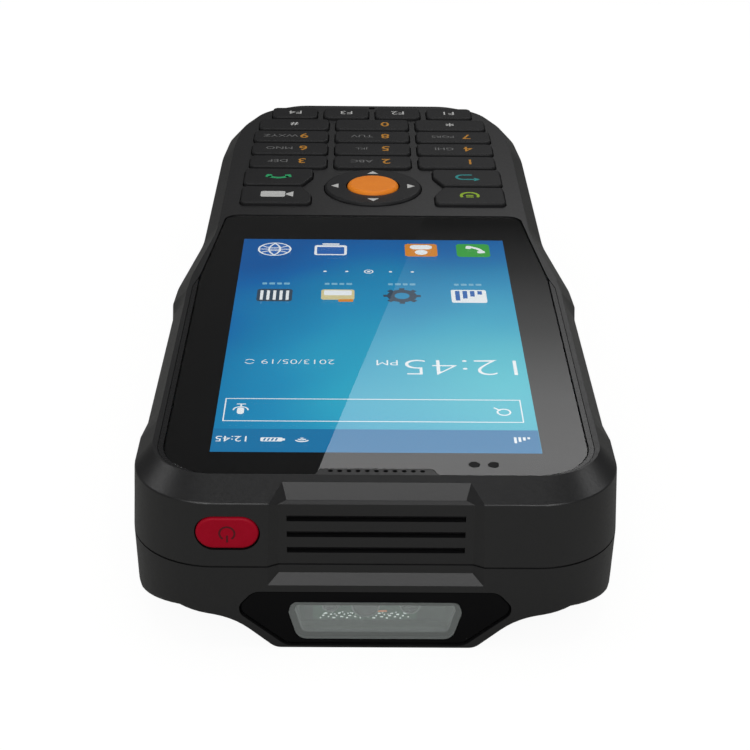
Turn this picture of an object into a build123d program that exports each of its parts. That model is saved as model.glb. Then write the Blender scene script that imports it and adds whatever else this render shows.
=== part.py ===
"""Portable barcode data terminal: a hand-held computer with a display, a keypad and a scan window.

Millimetres. The terminal lies on its back: +Z is up, out of the display, and z = 0 is the surface
it rests on. -Y is the head end, with the scan window; +Y is the tail end, with the socket cover.
The origin is the middle of the footprint. A place along the length is given as its distance from
the head face, and along() turns that distance into Y.
"""

from build123d import *
from math import atan2, degrees, radians, sin, sqrt
import os

os.makedirs("parts", exist_ok=True)

# ---------------------------------------------------------------- driving sizes
LENGTH = 183.5  # head face to tail face
HEAD_WIDTH = 76.8  # across the head, at the seam
GRIP_WIDTH = 69.8  # across the keypad grip, at the seam
HEIGHT = 29.0  # resting face to the housing's upper face
SEAM_Z = 15.1  # where the front and rear housings meet
BEVEL_Z = 26.0  # lower edge of the sloping rim
WALL = 1.8  # moulded wall
HEAD_WALL = 3.0  # thicker wall behind the head face
CEILING = 2.6  # wall under the housing's upper face
RUNNING = 0.2  # gap round a moving cap
SEATING = 0.1  # gap between a seated piece and its seat
DRAFT = 0.6  # how far the flanks lean in between the seam and the bevel

DISPLAY_W = 51.84  # lit area of a 4.0 inch 480 by 800 panel
DISPLAY_L = 86.4
DISPLAY_START = 12.0  # head face to the lit area
DISPLAY_BORDER = 3.2  # module edge outside the lit area
DISPLAY_TAIL_BORDER = 5.0  # the module's driver edge, towards the keypad
GLASS_WIDTH = 66.2
GLASS_START = 4.2  # head face to the glass
GLASS_END = 110.0
GLASS_T = 1.2
GLASS_SINK = 0.2  # glass face below the rim
TRIM_WIDTH = 0.9
TRIM_END = 74.0  # head face to the start of the trim's taper

KEY_GAP = 1.4  # between two rows of keys
COLUMN_GAP = 1.6
KEY_PROUD = 0.7  # key tops above the housing
KEY_TRAVEL = 0.4
KEY_FLANGE = 0.45  # how far a key's flange reaches past its cap
KEY_FLANGE_T = 0.85
SOFT_SHARE = 1.34  # a soft key is this much deeper than a number key
KEYPAD_MARGIN = 5.4  # from the glass to the first key
TAIL_RIM = 5.0  # from the last key to the tail face
FLANK_RIM = 7.6  # from the outer keys to the grip's flank
NAV_GAP = 1.244  # from the rocker to the rows of keys over and under the soft keys
OK_SHARE = 0.5288  # the centre key's radius over the rocker's
NAV_TILT = 1.5  # degrees, each way

MAT_T = 1.2
DOME_H = 0.35
BOARD_T = 1.0
BOARD_INSET = 5.2

BOTTOM_Z = 4.6  # underside between the nose and the battery bulge
HEAD_LIP_Z = 7.2  # lower edge of the head face, beside the nose
HEAD_LIP_END = 9.0  # head face to the end of the slope under that edge
EDGE_ROUND = 1.2  # rounding of the lower edge
EDGE_DRAFT = 0.3  # how far the rear housing leans in under the seam
NOSE_HALF = 15.6  # half width of the scan nose at the resting face
NOSE_TOP_HALF = 22.4  # its half width where the flanks flare out under the head
NOSE_FLARE_Z = 5.9
NOSE_SPREAD = 12.0  # width of the flare, up to the head face's lower edge
NOSE_CORNER_R = 9.5
NOSE_FLAT = 38.0  # head face to the end of the nose's flat foot
NOSE_RAMP = 11.0
BULGE_START = 80.0
BULGE_FLAT = 104.0
BULGE_END = LENGTH - 19.5
BULGE_RAMP = 8.0
BULGE_HALF = 24.5
BULGE_TOP_HALF = 30.0

DOOR_START = 86.0  # opening of the battery door
DOOR_END = LENGTH - 23.5
DOOR_HALF = 22.4
DOOR_SINK = 0.3  # door face above the resting face
DOOR_T = 1.6
DOOR_GAP = 0.2
LATCH_TRAVEL = 2.2

BATTERY_W = 40.0
POCKET_OFFSET = 15.0  # door opening to the battery's pocket, over the latch
BATTERY_T = 12.0
BATTERY_LIFT = 2.0  # battery above the door's inner face

BUTTON_LONG = 9.6  # power button
BUTTON_HIGH = 5.5
BUTTON_X = -22.6
BUTTON_Z = 20.9
BUTTON_TRAVEL = 0.4
BUTTON_FLANGE = 0.5
SCAN_KEY_LONG = 24.0
SCAN_KEY_HIGH = 6.6
SCAN_KEY_D = 46.0
SCAN_KEY_Z = 19.6

RECESS_START = 3.1  # head face to the speaker recess's upper end, on the sloping rim
RECESS_DEPTH = 0.9
RECESS_HALF = 14.9
RECESS_SLOPE = 1.7
SLOT_COUNT = 3
SLOT_PITCH = 2.8
SLOT_HALF = 13.6
SLOT_HIGH = 0.45
SLOT_TOP_Z = 22.6  # lower edge of the top slot

SCREW_R = 1.0
SCREW_HEAD_R = 1.9
SCREW_HEAD_T = 1.3
BOSS_R = 2.6
SCREW_SINK = 1.2

ENGINE_W = 22.3  # scan engine, a slim two-dimensional imager
ENGINE_H = 6.7
ENGINE_D = 13.4
BRACKET_T = 0.8

LANYARD_R = 1.7
LANYARD_WEB = 2.7

# ---------------------------------------------------------------- sizes that follow
HEAD_HALF = HEAD_WIDTH / 2
GRIP_HALF = GRIP_WIDTH / 2
UNDER_CEILING = HEIGHT - CEILING
GLASS_SEAT = HEIGHT - GLASS_SINK - GLASS_T
FLANGE_TOP = UNDER_CEILING - SEATING
KEY_BOTTOM = FLANGE_TOP - KEY_FLANGE_T
MAT_TOP = KEY_BOTTOM - KEY_TRAVEL - 0.05
MAT_BOTTOM = MAT_TOP - MAT_T
BOARD_TOP = MAT_BOTTOM - DOME_H - 0.05
BOARD_BOTTOM = BOARD_TOP - BOARD_T
KEYPAD_START = GLASS_END + KEYPAD_MARGIN
KEYPAD_END = LENGTH - TAIL_RIM
KEY_DEPTH = (KEYPAD_END - KEYPAD_START - 6 * KEY_GAP) / (5 + 2 * SOFT_SHARE)
SOFT_DEPTH = KEY_DEPTH * SOFT_SHARE
KEYPAD_HALF = GRIP_HALF - FLANK_RIM
COLUMN_W = (2 * KEYPAD_HALF - 2 * COLUMN_GAP) / 3
NAV_D = KEYPAD_START + SOFT_DEPTH + KEY_GAP / 2
NAV_R = SOFT_DEPTH + 1.5 * KEY_GAP - NAV_GAP
OK_R = NAV_R * OK_SHARE


def along(distance):
    """Y of a place that lies this far from the head face."""
    return distance - LENGTH / 2


# ---------------------------------------------------------------- outlines
# Half outline of the body at the seam, head to tail: distance from the head face, half width,
# corner radius and how much of the half width is cut away by the finger recess.
BODY_OUTLINE = [
    (0.0, HEAD_HALF, 13.5, 0.0),
    (20.6, HEAD_HALF, 5.0, 0.0),
    (25.4, HEAD_HALF, 5.0, 0.65),
    (67.0, HEAD_HALF, 5.0, 0.75),
    (71.8, HEAD_HALF, 5.0, 0.1),
    (79.0, HEAD_HALF - 0.4, 30.0, 0.0),
    (101.0, GRIP_HALF + 0.1, 45.0, 0.0),
    (LENGTH - 31.5, GRIP_HALF, 60.0, 0.0),
    (LENGTH - 17.5, GRIP_HALF - 1.1, 22.0, 0.0),
    (LENGTH - 4.5, GRIP_HALF - 6.0, 12.0, 0.0),
    (LENGTH, GRIP_HALF - 14.0, 8.0, 0.0),
]


def body_section(z, side, head, tail, recess=1.0):
    """The body's outline at height z, drawn in by side at the flanks and by head and tail at the ends."""
    tail_zone = LENGTH - 20.0
    points = []
    corner_radii = []
    for distance, half, radius, cut in BODY_OUTLINE:
        y = along(distance)
        if distance == 0.0:
            y += head
            radius = max(radius - min(side, head), 1.0)
        elif distance > tail_zone:
            y -= tail * (distance - tail_zone) / (LENGTH - tail_zone)
        points.append((half - cut * recess - side, y))
        corner_radii.append(radius)
    mirrored = [(-x, y) for x, y in reversed(points)]
    outline = FilletPolyline(*points, *mirrored, radius=corner_radii + corner_radii[::-1], close=True)
    return Pos(0, 0, z) * make_face(outline.edges())


def band(lower, upper):
    """The solid between two sections of the body."""
    return loft([lower, upper], ruled=True)


# Half outline of the cover glass, head to tail: distance, half width, corner radius.
GLASS_HALF = GLASS_WIDTH / 2
GLASS_OUTLINE = [
    (GLASS_START, GLASS_HALF, 9.0),
    (GLASS_END - 32.0, GLASS_HALF, 40.0),
    (GLASS_END - 13.0, GLASS_HALF - 1.8, 40.0),
    (GLASS_END, GLASS_HALF - 2.9, 3.0),
]


def glass_section(grow, trim=0.0):
    """The cover glass's outline, grown by grow all round and by trim's width along the trim."""
    rows = list(GLASS_OUTLINE)
    if trim:
        rows.insert(1, (TRIM_END, GLASS_HALF, 8.0))
    points = []
    corner_radii = []
    for distance, half, radius in rows:
        y = along(distance)
        if distance == GLASS_START:
            y -= grow
        if distance == GLASS_END:
            y += grow
        points.append((half + grow + (trim if distance <= TRIM_END else 0), y))
        corner_radii.append(radius + grow)
    mirrored = [(-x, y) for x, y in reversed(points)]
    outline = FilletPolyline(*points, *mirrored, radius=corner_radii + corner_radii[::-1], close=True)
    return make_face(outline.edges())


def box_between(x, y, z):
    """A box given by its two ends along X, Y and Z."""
    return Pos(sum(x) / 2, sum(y) / 2, sum(z) / 2) * Box(x[1] - x[0], y[1] - y[0], z[1] - z[0])


def prism(face, bottom, top):
    """A face drawn at z = 0, raised from bottom to top."""
    return Pos(0, 0, bottom) * extrude(face, amount=top - bottom)


def rod_x(radius, x, y, z):
    """A round rod along X."""
    return Pos(sum(x) / 2, y, z) * Rot(0, 90, 0) * Cylinder(radius, x[1] - x[0])


def rod_y(radius, x, y, z):
    """A round rod along Y."""
    return Pos(x, sum(y) / 2, z) * Rot(90, 0, 0) * Cylinder(radius, y[1] - y[0])


def rod_z(radius, x, y, z):
    """A round rod along Z."""
    return Pos(x, y, sum(z) / 2) * Cylinder(radius, z[1] - z[0])


def side_profile(points, corner_radii, half_width):
    """A closed outline in the Y-Z plane, drawn as distance and height, extended both ways along X."""
    outline = FilletPolyline(*[(along(d), z) for d, z in points], radius=corner_radii, close=True)
    face = Plane.YZ * make_face(outline.edges())
    return extrude(face, amount=half_width, both=True)


def upright(face, start, end, x=0.0, z=0.0):
    """A face drawn in the X-Z plane round a centre, extended from one distance to another."""
    plane = Plane(origin=(x, along(start), z), x_dir=(1, 0, 0), z_dir=(0, -1, 0))
    return extrude(plane * face, amount=end - start, dir=(0, 1, 0))


# ---------------------------------------------------------------- keypad layout
def rounded(width, depth, x, y, radius=1.3):
    """A key outline."""
    return Pos(x, y) * RectangleRounded(width, depth, radius)


def soft_key(side, row):
    """One of the four keys beside the navigation ring: side is -1 or 1, row is 0 or 1."""
    near = along(KEYPAD_START + row * (SOFT_DEPTH + KEY_GAP))
    far = near + SOFT_DEPTH
    inner = NAV_R + 2.7
    cut_x = 2.0
    cut_y = SOFT_DEPTH * 0.5
    if row == 0:
        corners = [(inner, near), (KEYPAD_HALF + 0.6, near), (KEYPAD_HALF + 0.6, far)]
        corners += [(inner + cut_x, far), (inner, far - cut_y)]
    else:
        corners = [(inner + cut_x, near), (KEYPAD_HALF + 0.6, near), (KEYPAD_HALF + 0.6, far)]
        corners += [(inner, far), (inner, near + cut_y)]
    points = [(side * x, y) for x, y in corners]
    return make_face(FilletPolyline(*points, radius=1.0, close=True).edges())


def number_key(column, row):
    """A key of the three-column block: column is -1, 0 or 1, row counts from the navigation ring."""
    near = KEYPAD_START + 2 * (SOFT_DEPTH + KEY_GAP) + row * (KEY_DEPTH + KEY_GAP)
    width = COLUMN_W
    x = column * (COLUMN_W + COLUMN_GAP)
    if row == 3 and column:
        width -= 0.8
        x -= column * 0.4
    return rounded(width, KEY_DEPTH, x, along(near + KEY_DEPTH / 2))


def function_key(number):
    """A key of the last row: number 0 to 3, from -X to +X."""
    reach = KEYPAD_HALF - 3.5
    width = (2 * reach - 3 * COLUMN_GAP) / 4
    x = (number - 1.5) * (width + COLUMN_GAP)
    near = KEYPAD_START + 2 * (SOFT_DEPTH + KEY_GAP) + 4 * (KEY_DEPTH + KEY_GAP)
    return rounded(width, KEY_DEPTH, x, along(near + KEY_DEPTH / 2))


KEYS = {
    "key_camera": soft_key(-1, 0),
    "key_call": soft_key(-1, 1),
    "key_menu": soft_key(1, 0),
    "key_back": soft_key(1, 1),
    "key_hash": number_key(-1, 3),
    "key_0": number_key(0, 3),
    "key_star": number_key(1, 3),
}
# The display reads from the head end, so the columns run 3, 2, 1 from -X to +X.
for number in range(1, 10):
    KEYS[f"key_{number}"] = number_key(1 - (number - 1) % 3, (number - 1) // 3)
for number in range(1, 5):
    KEYS[f"key_f{number}"] = function_key(4 - number)


def key_cap(outline):
    """A key: a cap with a softened top edge, and a flange that keeps it under the housing."""
    cap = prism(outline, KEY_BOTTOM, HEIGHT + KEY_PROUD)
    cap = fillet(cap.faces().sort_by(Axis.Z)[-1].edges(), KEY_PROUD / 2)
    return cap + prism(offset(outline, KEY_FLANGE), KEY_BOTTOM, FLANGE_TOP)


NAV_Y = along(NAV_D)
NAV_LIFT = (NAV_R + KEY_FLANGE) * sin(radians(NAV_TILT * sqrt(2)))  # of its rim, tilted both ways
NAV_FLANGE_TOP = UNDER_CEILING - NAV_LIFT - 0.05
NAV_TOP = HEIGHT + KEY_PROUD - 0.1
NAV_HOLE = OK_R + 0.3
PIVOT_R = NAV_HOLE + 0.6
PIVOT_WIDTH = 1.2
PIVOT_T = 0.3
PIVOT_BOTTOM = MAT_TOP + 0.3


def nav_ring():
    """The four-way rocker round the centre key. It has a dished face and a flange below."""
    ring = rod_z(NAV_R, 0, NAV_Y, (NAV_FLANGE_TOP, NAV_TOP))
    ring = fillet(ring.edges().sort_by(Axis.Z)[-1], 0.6)
    ring += rod_z(NAV_R + KEY_FLANGE, 0, NAV_Y, (NAV_FLANGE_TOP - 0.5, NAV_FLANGE_TOP))
    ring -= rod_z(PIVOT_R + PIVOT_WIDTH + 0.4, 0, NAV_Y, (KEY_BOTTOM - 1, NAV_FLANGE_TOP))
    ring -= rod_z(NAV_HOLE, 0, NAV_Y, (KEY_BOTTOM - 1, HEIGHT + 3))
    ring -= rod_z(OK_R + KEY_FLANGE + 0.4, 0, NAV_Y, (KEY_BOTTOM - 1, FLANGE_TOP + 0.3))
    return ring


def nav_pivot():
    """The thin gimbal ring under the rocker, which lets it tip both ways."""
    ring = rod_z(PIVOT_R + PIVOT_WIDTH, 0, NAV_Y, (PIVOT_BOTTOM, PIVOT_BOTTOM + PIVOT_T))
    return ring - rod_z(PIVOT_R, 0, NAV_Y, (PIVOT_BOTTOM - 1, PIVOT_BOTTOM + PIVOT_T + 1))


def ok_key():
    """The centre key, with a gently domed top."""
    outline = Pos(0, NAV_Y) * Circle(OK_R)
    cap = prism(outline, KEY_BOTTOM, HEIGHT + KEY_PROUD + 0.5)
    cap = fillet(cap.edges().sort_by(Axis.Z)[-1], 0.9)
    return cap + prism(offset(outline, KEY_FLANGE), KEY_BOTTOM, FLANGE_TOP)


# ---------------------------------------------------------------- screws and bosses
TAIL_BOSS = (GRIP_HALF - 6.3, LENGTH - 20.0)
MID_BOSS = (GRIP_HALF - 5.4, GLASS_END - 3.0)
HEAD_BOSS = (HEAD_HALF - 6.8, 15.5)
SCREW_PLACES = [
    (side * x, along(distance)) for x, distance in (HEAD_BOSS, MID_BOSS, TAIL_BOSS) for side in (-1, 1)
]
FRONT_BOSS_R = 2.1
SCREW_SEAT = BOTTOM_Z + SCREW_SINK + SCREW_HEAD_T


def housing_screws():
    """Six screws, driven from the back, that hold the housings together through the board."""
    screws = []
    for x, y in SCREW_PLACES:
        head = rod_z(SCREW_HEAD_R, x, y, (SCREW_SEAT - SCREW_HEAD_T, SCREW_SEAT))
        socket = rod_z(0.8, x, y, (SCREW_SEAT - SCREW_HEAD_T - 1, SCREW_SEAT - 0.5))
        shank = rod_z(SCREW_R, x, y, (SCREW_SEAT, UNDER_CEILING - 0.4))
        screws.append(head - socket + shank)
    return Compound(children=[s.solids()[0] for s in screws])


# ---------------------------------------------------------------- front housing
BEVEL_HEAD = 0.2  # how far the head face leans in
TOP_SIDE = 3.4  # rim of the upper face, in from the seam outline at the flanks
TOP_HEAD = 4.0
TOP_TAIL = 1.3


def front_outer():
    """The front housing's outside, with no openings."""
    seam = body_section(SEAM_Z, 0, 0, 0)
    bevel = body_section(BEVEL_Z, DRAFT, BEVEL_HEAD, BEVEL_HEAD)
    top = body_section(HEIGHT, TOP_SIDE, TOP_HEAD, TOP_TAIL, recess=0.1)
    body = band(seam, bevel) + band(bevel, top)
    edge = body.edges().filter_by_position(Axis.Z, BEVEL_Z - 0.1, BEVEL_Z + 0.1)
    return fillet(edge, 0.4)


def front_cavity():
    """The hollow inside the front housing."""
    knee = BEVEL_Z - 0.8
    seam = body_section(SEAM_Z - 1, WALL, HEAD_WALL, WALL)
    bevel = body_section(knee, WALL + DRAFT, HEAD_WALL, WALL)
    share = (UNDER_CEILING - knee) / (HEIGHT - WALL - knee)
    top_side = WALL + DRAFT + share * (TOP_SIDE - DRAFT)
    top = body_section(UNDER_CEILING, top_side, HEAD_WALL + share * 1.2, WALL + 0.6, recess=0.3)
    return band(seam, bevel) + band(bevel, top)


def quad(points):
    """A flat four-sided face, mirrored about the middle, from its two right-hand corners."""
    (x0, d0, z0), (x1, d1, z1) = points
    corners = [(x0, along(d0), z0), (x1, along(d1), z1), (-x1, along(d1), z1), (-x0, along(d0), z0)]
    return make_face(Polyline(*corners, close=True).edges())


def speaker_recess():
    """The shallow recess that starts on the sloping rim and runs down the head face past the seam."""
    edge_z = BEVEL_Z - 0.4
    bend_z = SEAM_Z - 1.7
    end_z = SEAM_Z - 3.5
    flare = RECESS_SLOPE / RECESS_DEPTH
    down_face = [
        (-5.0, BEVEL_Z + 0.5),
        (RECESS_DEPTH, BEVEL_Z + 0.5),
        (RECESS_DEPTH, bend_z),
        (0.0, end_z),
        (-5.0, end_z - 5 * (bend_z - end_z) / RECESS_DEPTH),
    ]
    reach = RECESS_HALF + flare * (RECESS_DEPTH + 5)
    plan = [
        (-RECESS_HALF, along(RECESS_DEPTH)),
        (RECESS_HALF, along(RECESS_DEPTH)),
        (reach, along(-5)),
        (-reach, along(-5)),
    ]
    walls = prism(make_face(Polyline(*plan, close=True).edges()), -5, HEIGHT + 5)
    face_part = side_profile(down_face, 0, HEAD_HALF) & walls
    top_half = RECESS_HALF - 1.3
    floor = quad([(top_half, RECESS_START - 1.2, edge_z + 0.2), (RECESS_HALF, RECESS_DEPTH, edge_z)])
    above = quad(
        [
            (top_half + 1.2, RECESS_START + 0.8, HEIGHT + 1.1),
            (RECESS_HALF + 2 * RECESS_SLOPE, -RECESS_DEPTH, edge_z + 0.8),
        ]
    )
    return face_part + loft([floor, above], ruled=True)


def speaker_slots():
    """Three louvred sound slots in the speaker recess."""
    face = along(RECESS_DEPTH)
    louvre_high = SLOT_HIGH + 0.7
    slots = None
    for number in range(SLOT_COUNT):
        z = SLOT_TOP_Z - number * SLOT_PITCH
        slot = box_between((-SLOT_HALF, SLOT_HALF), (face - 1, along(HEAD_WALL) + 1), (z, z + SLOT_HIGH))
        louvre = Polyline(
            (face - 0.1, z + SLOT_HIGH),
            (face + 0.45, z + SLOT_HIGH),
            (face - 0.1, z + louvre_high),
            close=True,
        )
        wedge = extrude(Plane.YZ * make_face(louvre.edges()), amount=SLOT_HALF, both=True)
        slots = slot + wedge if slots is None else slots + slot + wedge
    return slots


TAB_HALF = 8.4
TAB_DEPTH = 1.7
EARPIECE_HOLES = 11
EARPIECE_PITCH = 1.4
EARPIECE_D = 5.15


def ear_tab(grow):
    """The tongue of the housing that reaches into the glass and holds the earpiece holes."""
    tip = along(GLASS_START + TAB_DEPTH) + grow
    base = along(GLASS_START) - 1.0
    half = TAB_HALF + grow
    slope = 0.9 * (TAB_DEPTH + grow + 1.0) / TAB_DEPTH
    points = [(-half - slope, base), (half + slope, base), (half, tip), (-half, tip)]
    return make_face(Polyline(*points, close=True).edges())


def earpiece_holes():
    """The row of small holes in the tongue."""
    holes = None
    for number in range(EARPIECE_HOLES):
        x = (number - (EARPIECE_HOLES - 1) / 2) * EARPIECE_PITCH
        hole = rod_z(0.38, x, along(EARPIECE_D), (UNDER_CEILING - 1, HEIGHT + 1))
        holes = hole if holes is None else holes + hole
    return holes


SENSOR_D = 7.6  # head face to the two sensor windows
SENSOR_PLACES = [(15.0, along(SENSOR_D)), (18.0, along(SENSOR_D))]
SENSOR_R = 0.9
MODULE_HALF = DISPLAY_W / 2 + 2.1
MODULE_START = DISPLAY_START - DISPLAY_BORDER
MODULE_END = DISPLAY_START + DISPLAY_L + DISPLAY_TAIL_BORDER
MIC_PLACE = (0, along(LENGTH - 3.1))


def button_outline(grow):
    """The power button's outline, drawn in the X-Z plane."""
    return SlotOverall(BUTTON_LONG + 2 * grow, BUTTON_HIGH + 2 * grow)


def on_head(face, start, end):
    """A face drawn round the power button's centre, extended from one distance to another."""
    return upright(face, start, end, BUTTON_X, BUTTON_Z)


def on_flank(side, grow, near, far):
    """The side scan key's outline, extended from half width near to half width far."""
    outline = SlotOverall(SCAN_KEY_LONG + 2 * grow, SCAN_KEY_HIGH + 2 * grow)
    plane = Plane(origin=(side * near, along(SCAN_KEY_D), SCAN_KEY_Z), x_dir=(0, 1, 0), z_dir=(side, 0, 0))
    return extrude(plane * outline, amount=far - near, dir=(side, 0, 0))


SOCKET_HALF = 6.6
SOCKET_Z = 11.0
SOCKET_HIGH = 5.2
COVER_SINK = 1.2


def cover_outline(grow):
    """The socket cover's outline, drawn in the X-Z plane."""
    return RectangleRounded(2 * (SOCKET_HALF + grow), SOCKET_HIGH + 2 * grow, 1.2)


def on_tail(face, start, end):
    """A face drawn round the socket's centre, extended between two distances from the tail face."""
    return upright(face, LENGTH - end, LENGTH - start, 0, SOCKET_Z)


def front_housing():
    """The upper casing: it carries the glass, the keys and the power button."""
    shell = front_outer() - front_cavity()
    shell += [rod_z(FRONT_BOSS_R, x, y, (BOARD_TOP, UNDER_CEILING + 0.5)) for x, y in SCREW_PLACES]
    glass_pocket = glass_section(SEATING, TRIM_WIDTH) - ear_tab(0)
    display_window = box_between(
        (-MODULE_HALF - SEATING, MODULE_HALF + SEATING),
        (along(MODULE_START) - SEATING, along(MODULE_END) + SEATING),
        (UNDER_CEILING - 2, HEIGHT + 2),
    )
    cuts = [speaker_recess(), speaker_slots(), prism(glass_pocket, GLASS_SEAT, HEIGHT + 2), display_window]
    cuts.append(earpiece_holes())
    cuts += [rod_z(SENSOR_R + SEATING, x, y, (UNDER_CEILING - 1, HEIGHT)) for x, y in SENSOR_PLACES]
    for outline in KEYS.values():
        cuts.append(prism(offset(outline, RUNNING), UNDER_CEILING - 1, HEIGHT + 2))
        cuts.append(prism(offset(outline, KEY_FLANGE + RUNNING), MAT_TOP, UNDER_CEILING))
    cuts.append(rod_z(NAV_R + RUNNING, 0, NAV_Y, (UNDER_CEILING - 1, HEIGHT + 2)))
    cuts.append(on_head(button_outline(RUNNING), -2, HEAD_WALL + 1))
    cuts.append(on_head(button_outline(BUTTON_FLANGE + RUNNING), HEAD_WALL, HEAD_WALL + 3))
    cuts += [on_flank(side, RUNNING, HEAD_HALF - WALL - 3, HEAD_HALF + 1) for side in (-1, 1)]
    for x, y in SCREW_PLACES:
        cuts.append(rod_z(SCREW_R + 0.03, x, y, (BOARD_TOP - 1, UNDER_CEILING + 0.6)))
        cuts.append(rod_z(BOSS_R + RUNNING, x, y, (SEAM_Z - 1, BOARD_BOTTOM + 0.2)))
    cuts.append(rod_z(0.8, *MIC_PLACE, (UNDER_CEILING - 1, HEIGHT + 1)))
    return shell - cuts


# ---------------------------------------------------------------- rear housing
def swept_form(ridge, ridge_radii, flank, flank_radii, limit):
    """What a ridge seen from the side and its flank seen from the end share, inside a plan outline."""
    along_body = side_profile(ridge, ridge_radii, HEAD_HALF)
    mirrored = [(-x, z) for x, z in reversed(flank)]
    outline = FilletPolyline(*flank, *mirrored, radius=flank_radii + flank_radii[::-1], close=True)
    across_body = upright(make_face(outline.edges()), -1, LENGTH + 1)
    return prism(limit, -1, SEAM_Z) & along_body & across_body


def nose(inset):
    """The scan nose: a foot with sloping flanks that holds the scan engine."""
    end = NOSE_FLAT + NOSE_RAMP
    ridge = [
        (inset - 0.5, SEAM_Z - 1),
        (inset - 0.5, inset),
        (NOSE_FLAT, inset),
        (end, BOTTOM_Z + inset),
        (end + 8, BOTTOM_Z + inset),
        (end + 8, SEAM_Z - 1),
    ]
    half = NOSE_TOP_HALF - inset
    shoulder = half + NOSE_SPREAD
    flank = [
        (shoulder, SEAM_Z - 0.5),
        (shoulder, HEAD_LIP_Z + inset + 0.02),
        (half, NOSE_FLARE_Z + inset),
        (NOSE_HALF - inset, inset),
    ]
    plan = RectangleRounded(2 * shoulder, LENGTH - 2 * inset, NOSE_CORNER_R - inset)
    return swept_form(ridge, [0, 0, 14.0, 14.0, 0, 0], flank, [0, 0, 12.0, 2.5], plan)


def bulge(inset):
    """The battery bulge, the palm grip under the keypad."""
    end = BULGE_END - inset
    ridge = [
        (BULGE_START - 12, SEAM_Z - 1),
        (BULGE_START - 12, BOTTOM_Z + inset),
        (BULGE_START, BOTTOM_Z + inset),
        (BULGE_FLAT, inset),
        (end, inset),
        (end + BULGE_RAMP, BOTTOM_Z + inset),
        (end + BULGE_RAMP, SEAM_Z - 1),
    ]
    half = BULGE_TOP_HALF - inset
    flank = [(half, SEAM_Z - 0.5), (half, BOTTOM_Z + inset), (BULGE_HALF - inset, inset)]
    rim = EDGE_ROUND + EDGE_DRAFT + inset
    plan = body_section(0, rim, rim, rim)
    return swept_form(ridge, [0, 0, 25.0, 30.0, 7.0, 0, 0], flank, [0, 0, 5.0], plan)


def rear_body(inset, edge_round):
    """The rear housing's form, drawn in by inset: outside at 0, hollow at the wall's thickness."""
    seam = body_section(SEAM_Z, inset, inset, inset)
    lean = inset + EDGE_DRAFT
    body = band(body_section(BOTTOM_Z + inset, lean, inset + 0.1, lean), seam)
    wedge = [
        (-5.0, HEAD_LIP_Z + inset + 5.0 * (HEAD_LIP_Z - BOTTOM_Z) / HEAD_LIP_END),
        (HEAD_LIP_END, BOTTOM_Z + inset),
        (HEAD_LIP_END, -2.0),
        (-5.0, -2.0),
    ]
    body -= side_profile(wedge, 0, HEAD_HALF + 1)
    if edge_round:
        rim = body.faces().filter_by(lambda face: face.normal_at().Z < -0.9).edges()
        crease = rim.filter_by_position(Axis.Y, along(HEAD_LIP_END) - 0.1, along(HEAD_LIP_END) + 0.1)
        body = fillet([edge for edge in rim if edge not in crease.filter_by(Axis.X)], edge_round)
    return body + nose(inset) + bulge(inset)


# Scan window frame, half outline in the X-Z plane: half width and height.
FRAME_TOP = (18.9, 10.3)
FRAME_WIDE = (21.8, 7.0)
FRAME_FOOT = (13.9, 0.45)
FRAME_CORNERS = [2.4, 1.8, 2.4]
FRAME_SINK = 0.4
FRAME_T = 1.4
WINDOW_TOP = (12.9, 8.1)
WINDOW_WIDE = (13.5, 6.3)
WINDOW_FOOT = (12.1, 1.3)
WINDOW_CORNERS = [1.1, 1.2, 1.9]
WINDOW_T = 1.0


def six_sided(right_corners, radii, grow):
    """A six-sided outline in the X-Z plane, from its three right-hand corners, grown by grow."""
    mirrored = [(-x, z) for x, z in reversed(right_corners)]
    outline = FilletPolyline(*right_corners, *mirrored, radius=radii + radii[::-1], close=True)
    face = make_face(outline.edges())
    return offset(face, grow) if grow else face


def frame_face(grow=0.0):
    """The bezel's outline."""
    return six_sided([FRAME_TOP, FRAME_WIDE, FRAME_FOOT], FRAME_CORNERS, grow)


def window_face(grow=0.0):
    """The window's outline."""
    return six_sided([WINDOW_TOP, WINDOW_WIDE, WINDOW_FOOT], WINDOW_CORNERS, grow)


def scan_window_frame():
    """The gloss bezel in the nose, with a step that takes the window."""
    start = FRAME_SINK
    frame = upright(frame_face(), start, start + FRAME_T)
    frame = chamfer(frame.faces().sort_by(Axis.Y)[0].edges(), 0.25)
    frame -= upright(window_face(SEATING), start - 1, start + WINDOW_T + 0.1)
    return frame - upright(window_face(-0.9), start, start + FRAME_T + 1)


def scan_window():
    """The clear window that the imager looks through."""
    return upright(window_face(), FRAME_SINK + 0.1, FRAME_SINK + 0.1 + WINDOW_T)


BAY_WALL = 1.9
BAY_HALF = DOOR_HALF + BAY_WALL
BATTERY_BOTTOM = DOOR_SINK + DOOR_T + BATTERY_LIFT
BAY_CEILING = BATTERY_BOTTOM + BATTERY_T + 0.5
POCKET_HALF = BATTERY_W / 2 + 0.3
POCKET_END = DOOR_END - 1.4
POCKET_START = DOOR_START + POCKET_OFFSET
BATTERY_L = POCKET_END - POCKET_START - 0.6
HINGE_D = DOOR_END - 1.9
HINGE_Z = DOOR_SINK + DOOR_T
TRUNNION_R = 0.8
DOOR_SPAN = (along(DOOR_START), along(DOOR_END))

CAMERA_D = 66.0
CAMERA_R = 4.6
FLASH_X = 10.5
FLASH_R = 2.2
LENS_T = 1.0

LANYARD_PLACE = (GRIP_HALF - 10.3, along(LENGTH - 7.6))
LANYARD_TOP = BOTTOM_Z + LANYARD_WEB
SOCKET_CUT = 9.0  # depth of the socket's opening behind the tail face


def corner_block(side):
    """Solid tail corner that the lanyard eye is cut in."""
    tail_y = (along(LENGTH - 12.6), along(LENGTH + 1))
    return box_between(sorted((side * 19.5, side * 40)), tail_y, (0, SEAM_Z))


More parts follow.
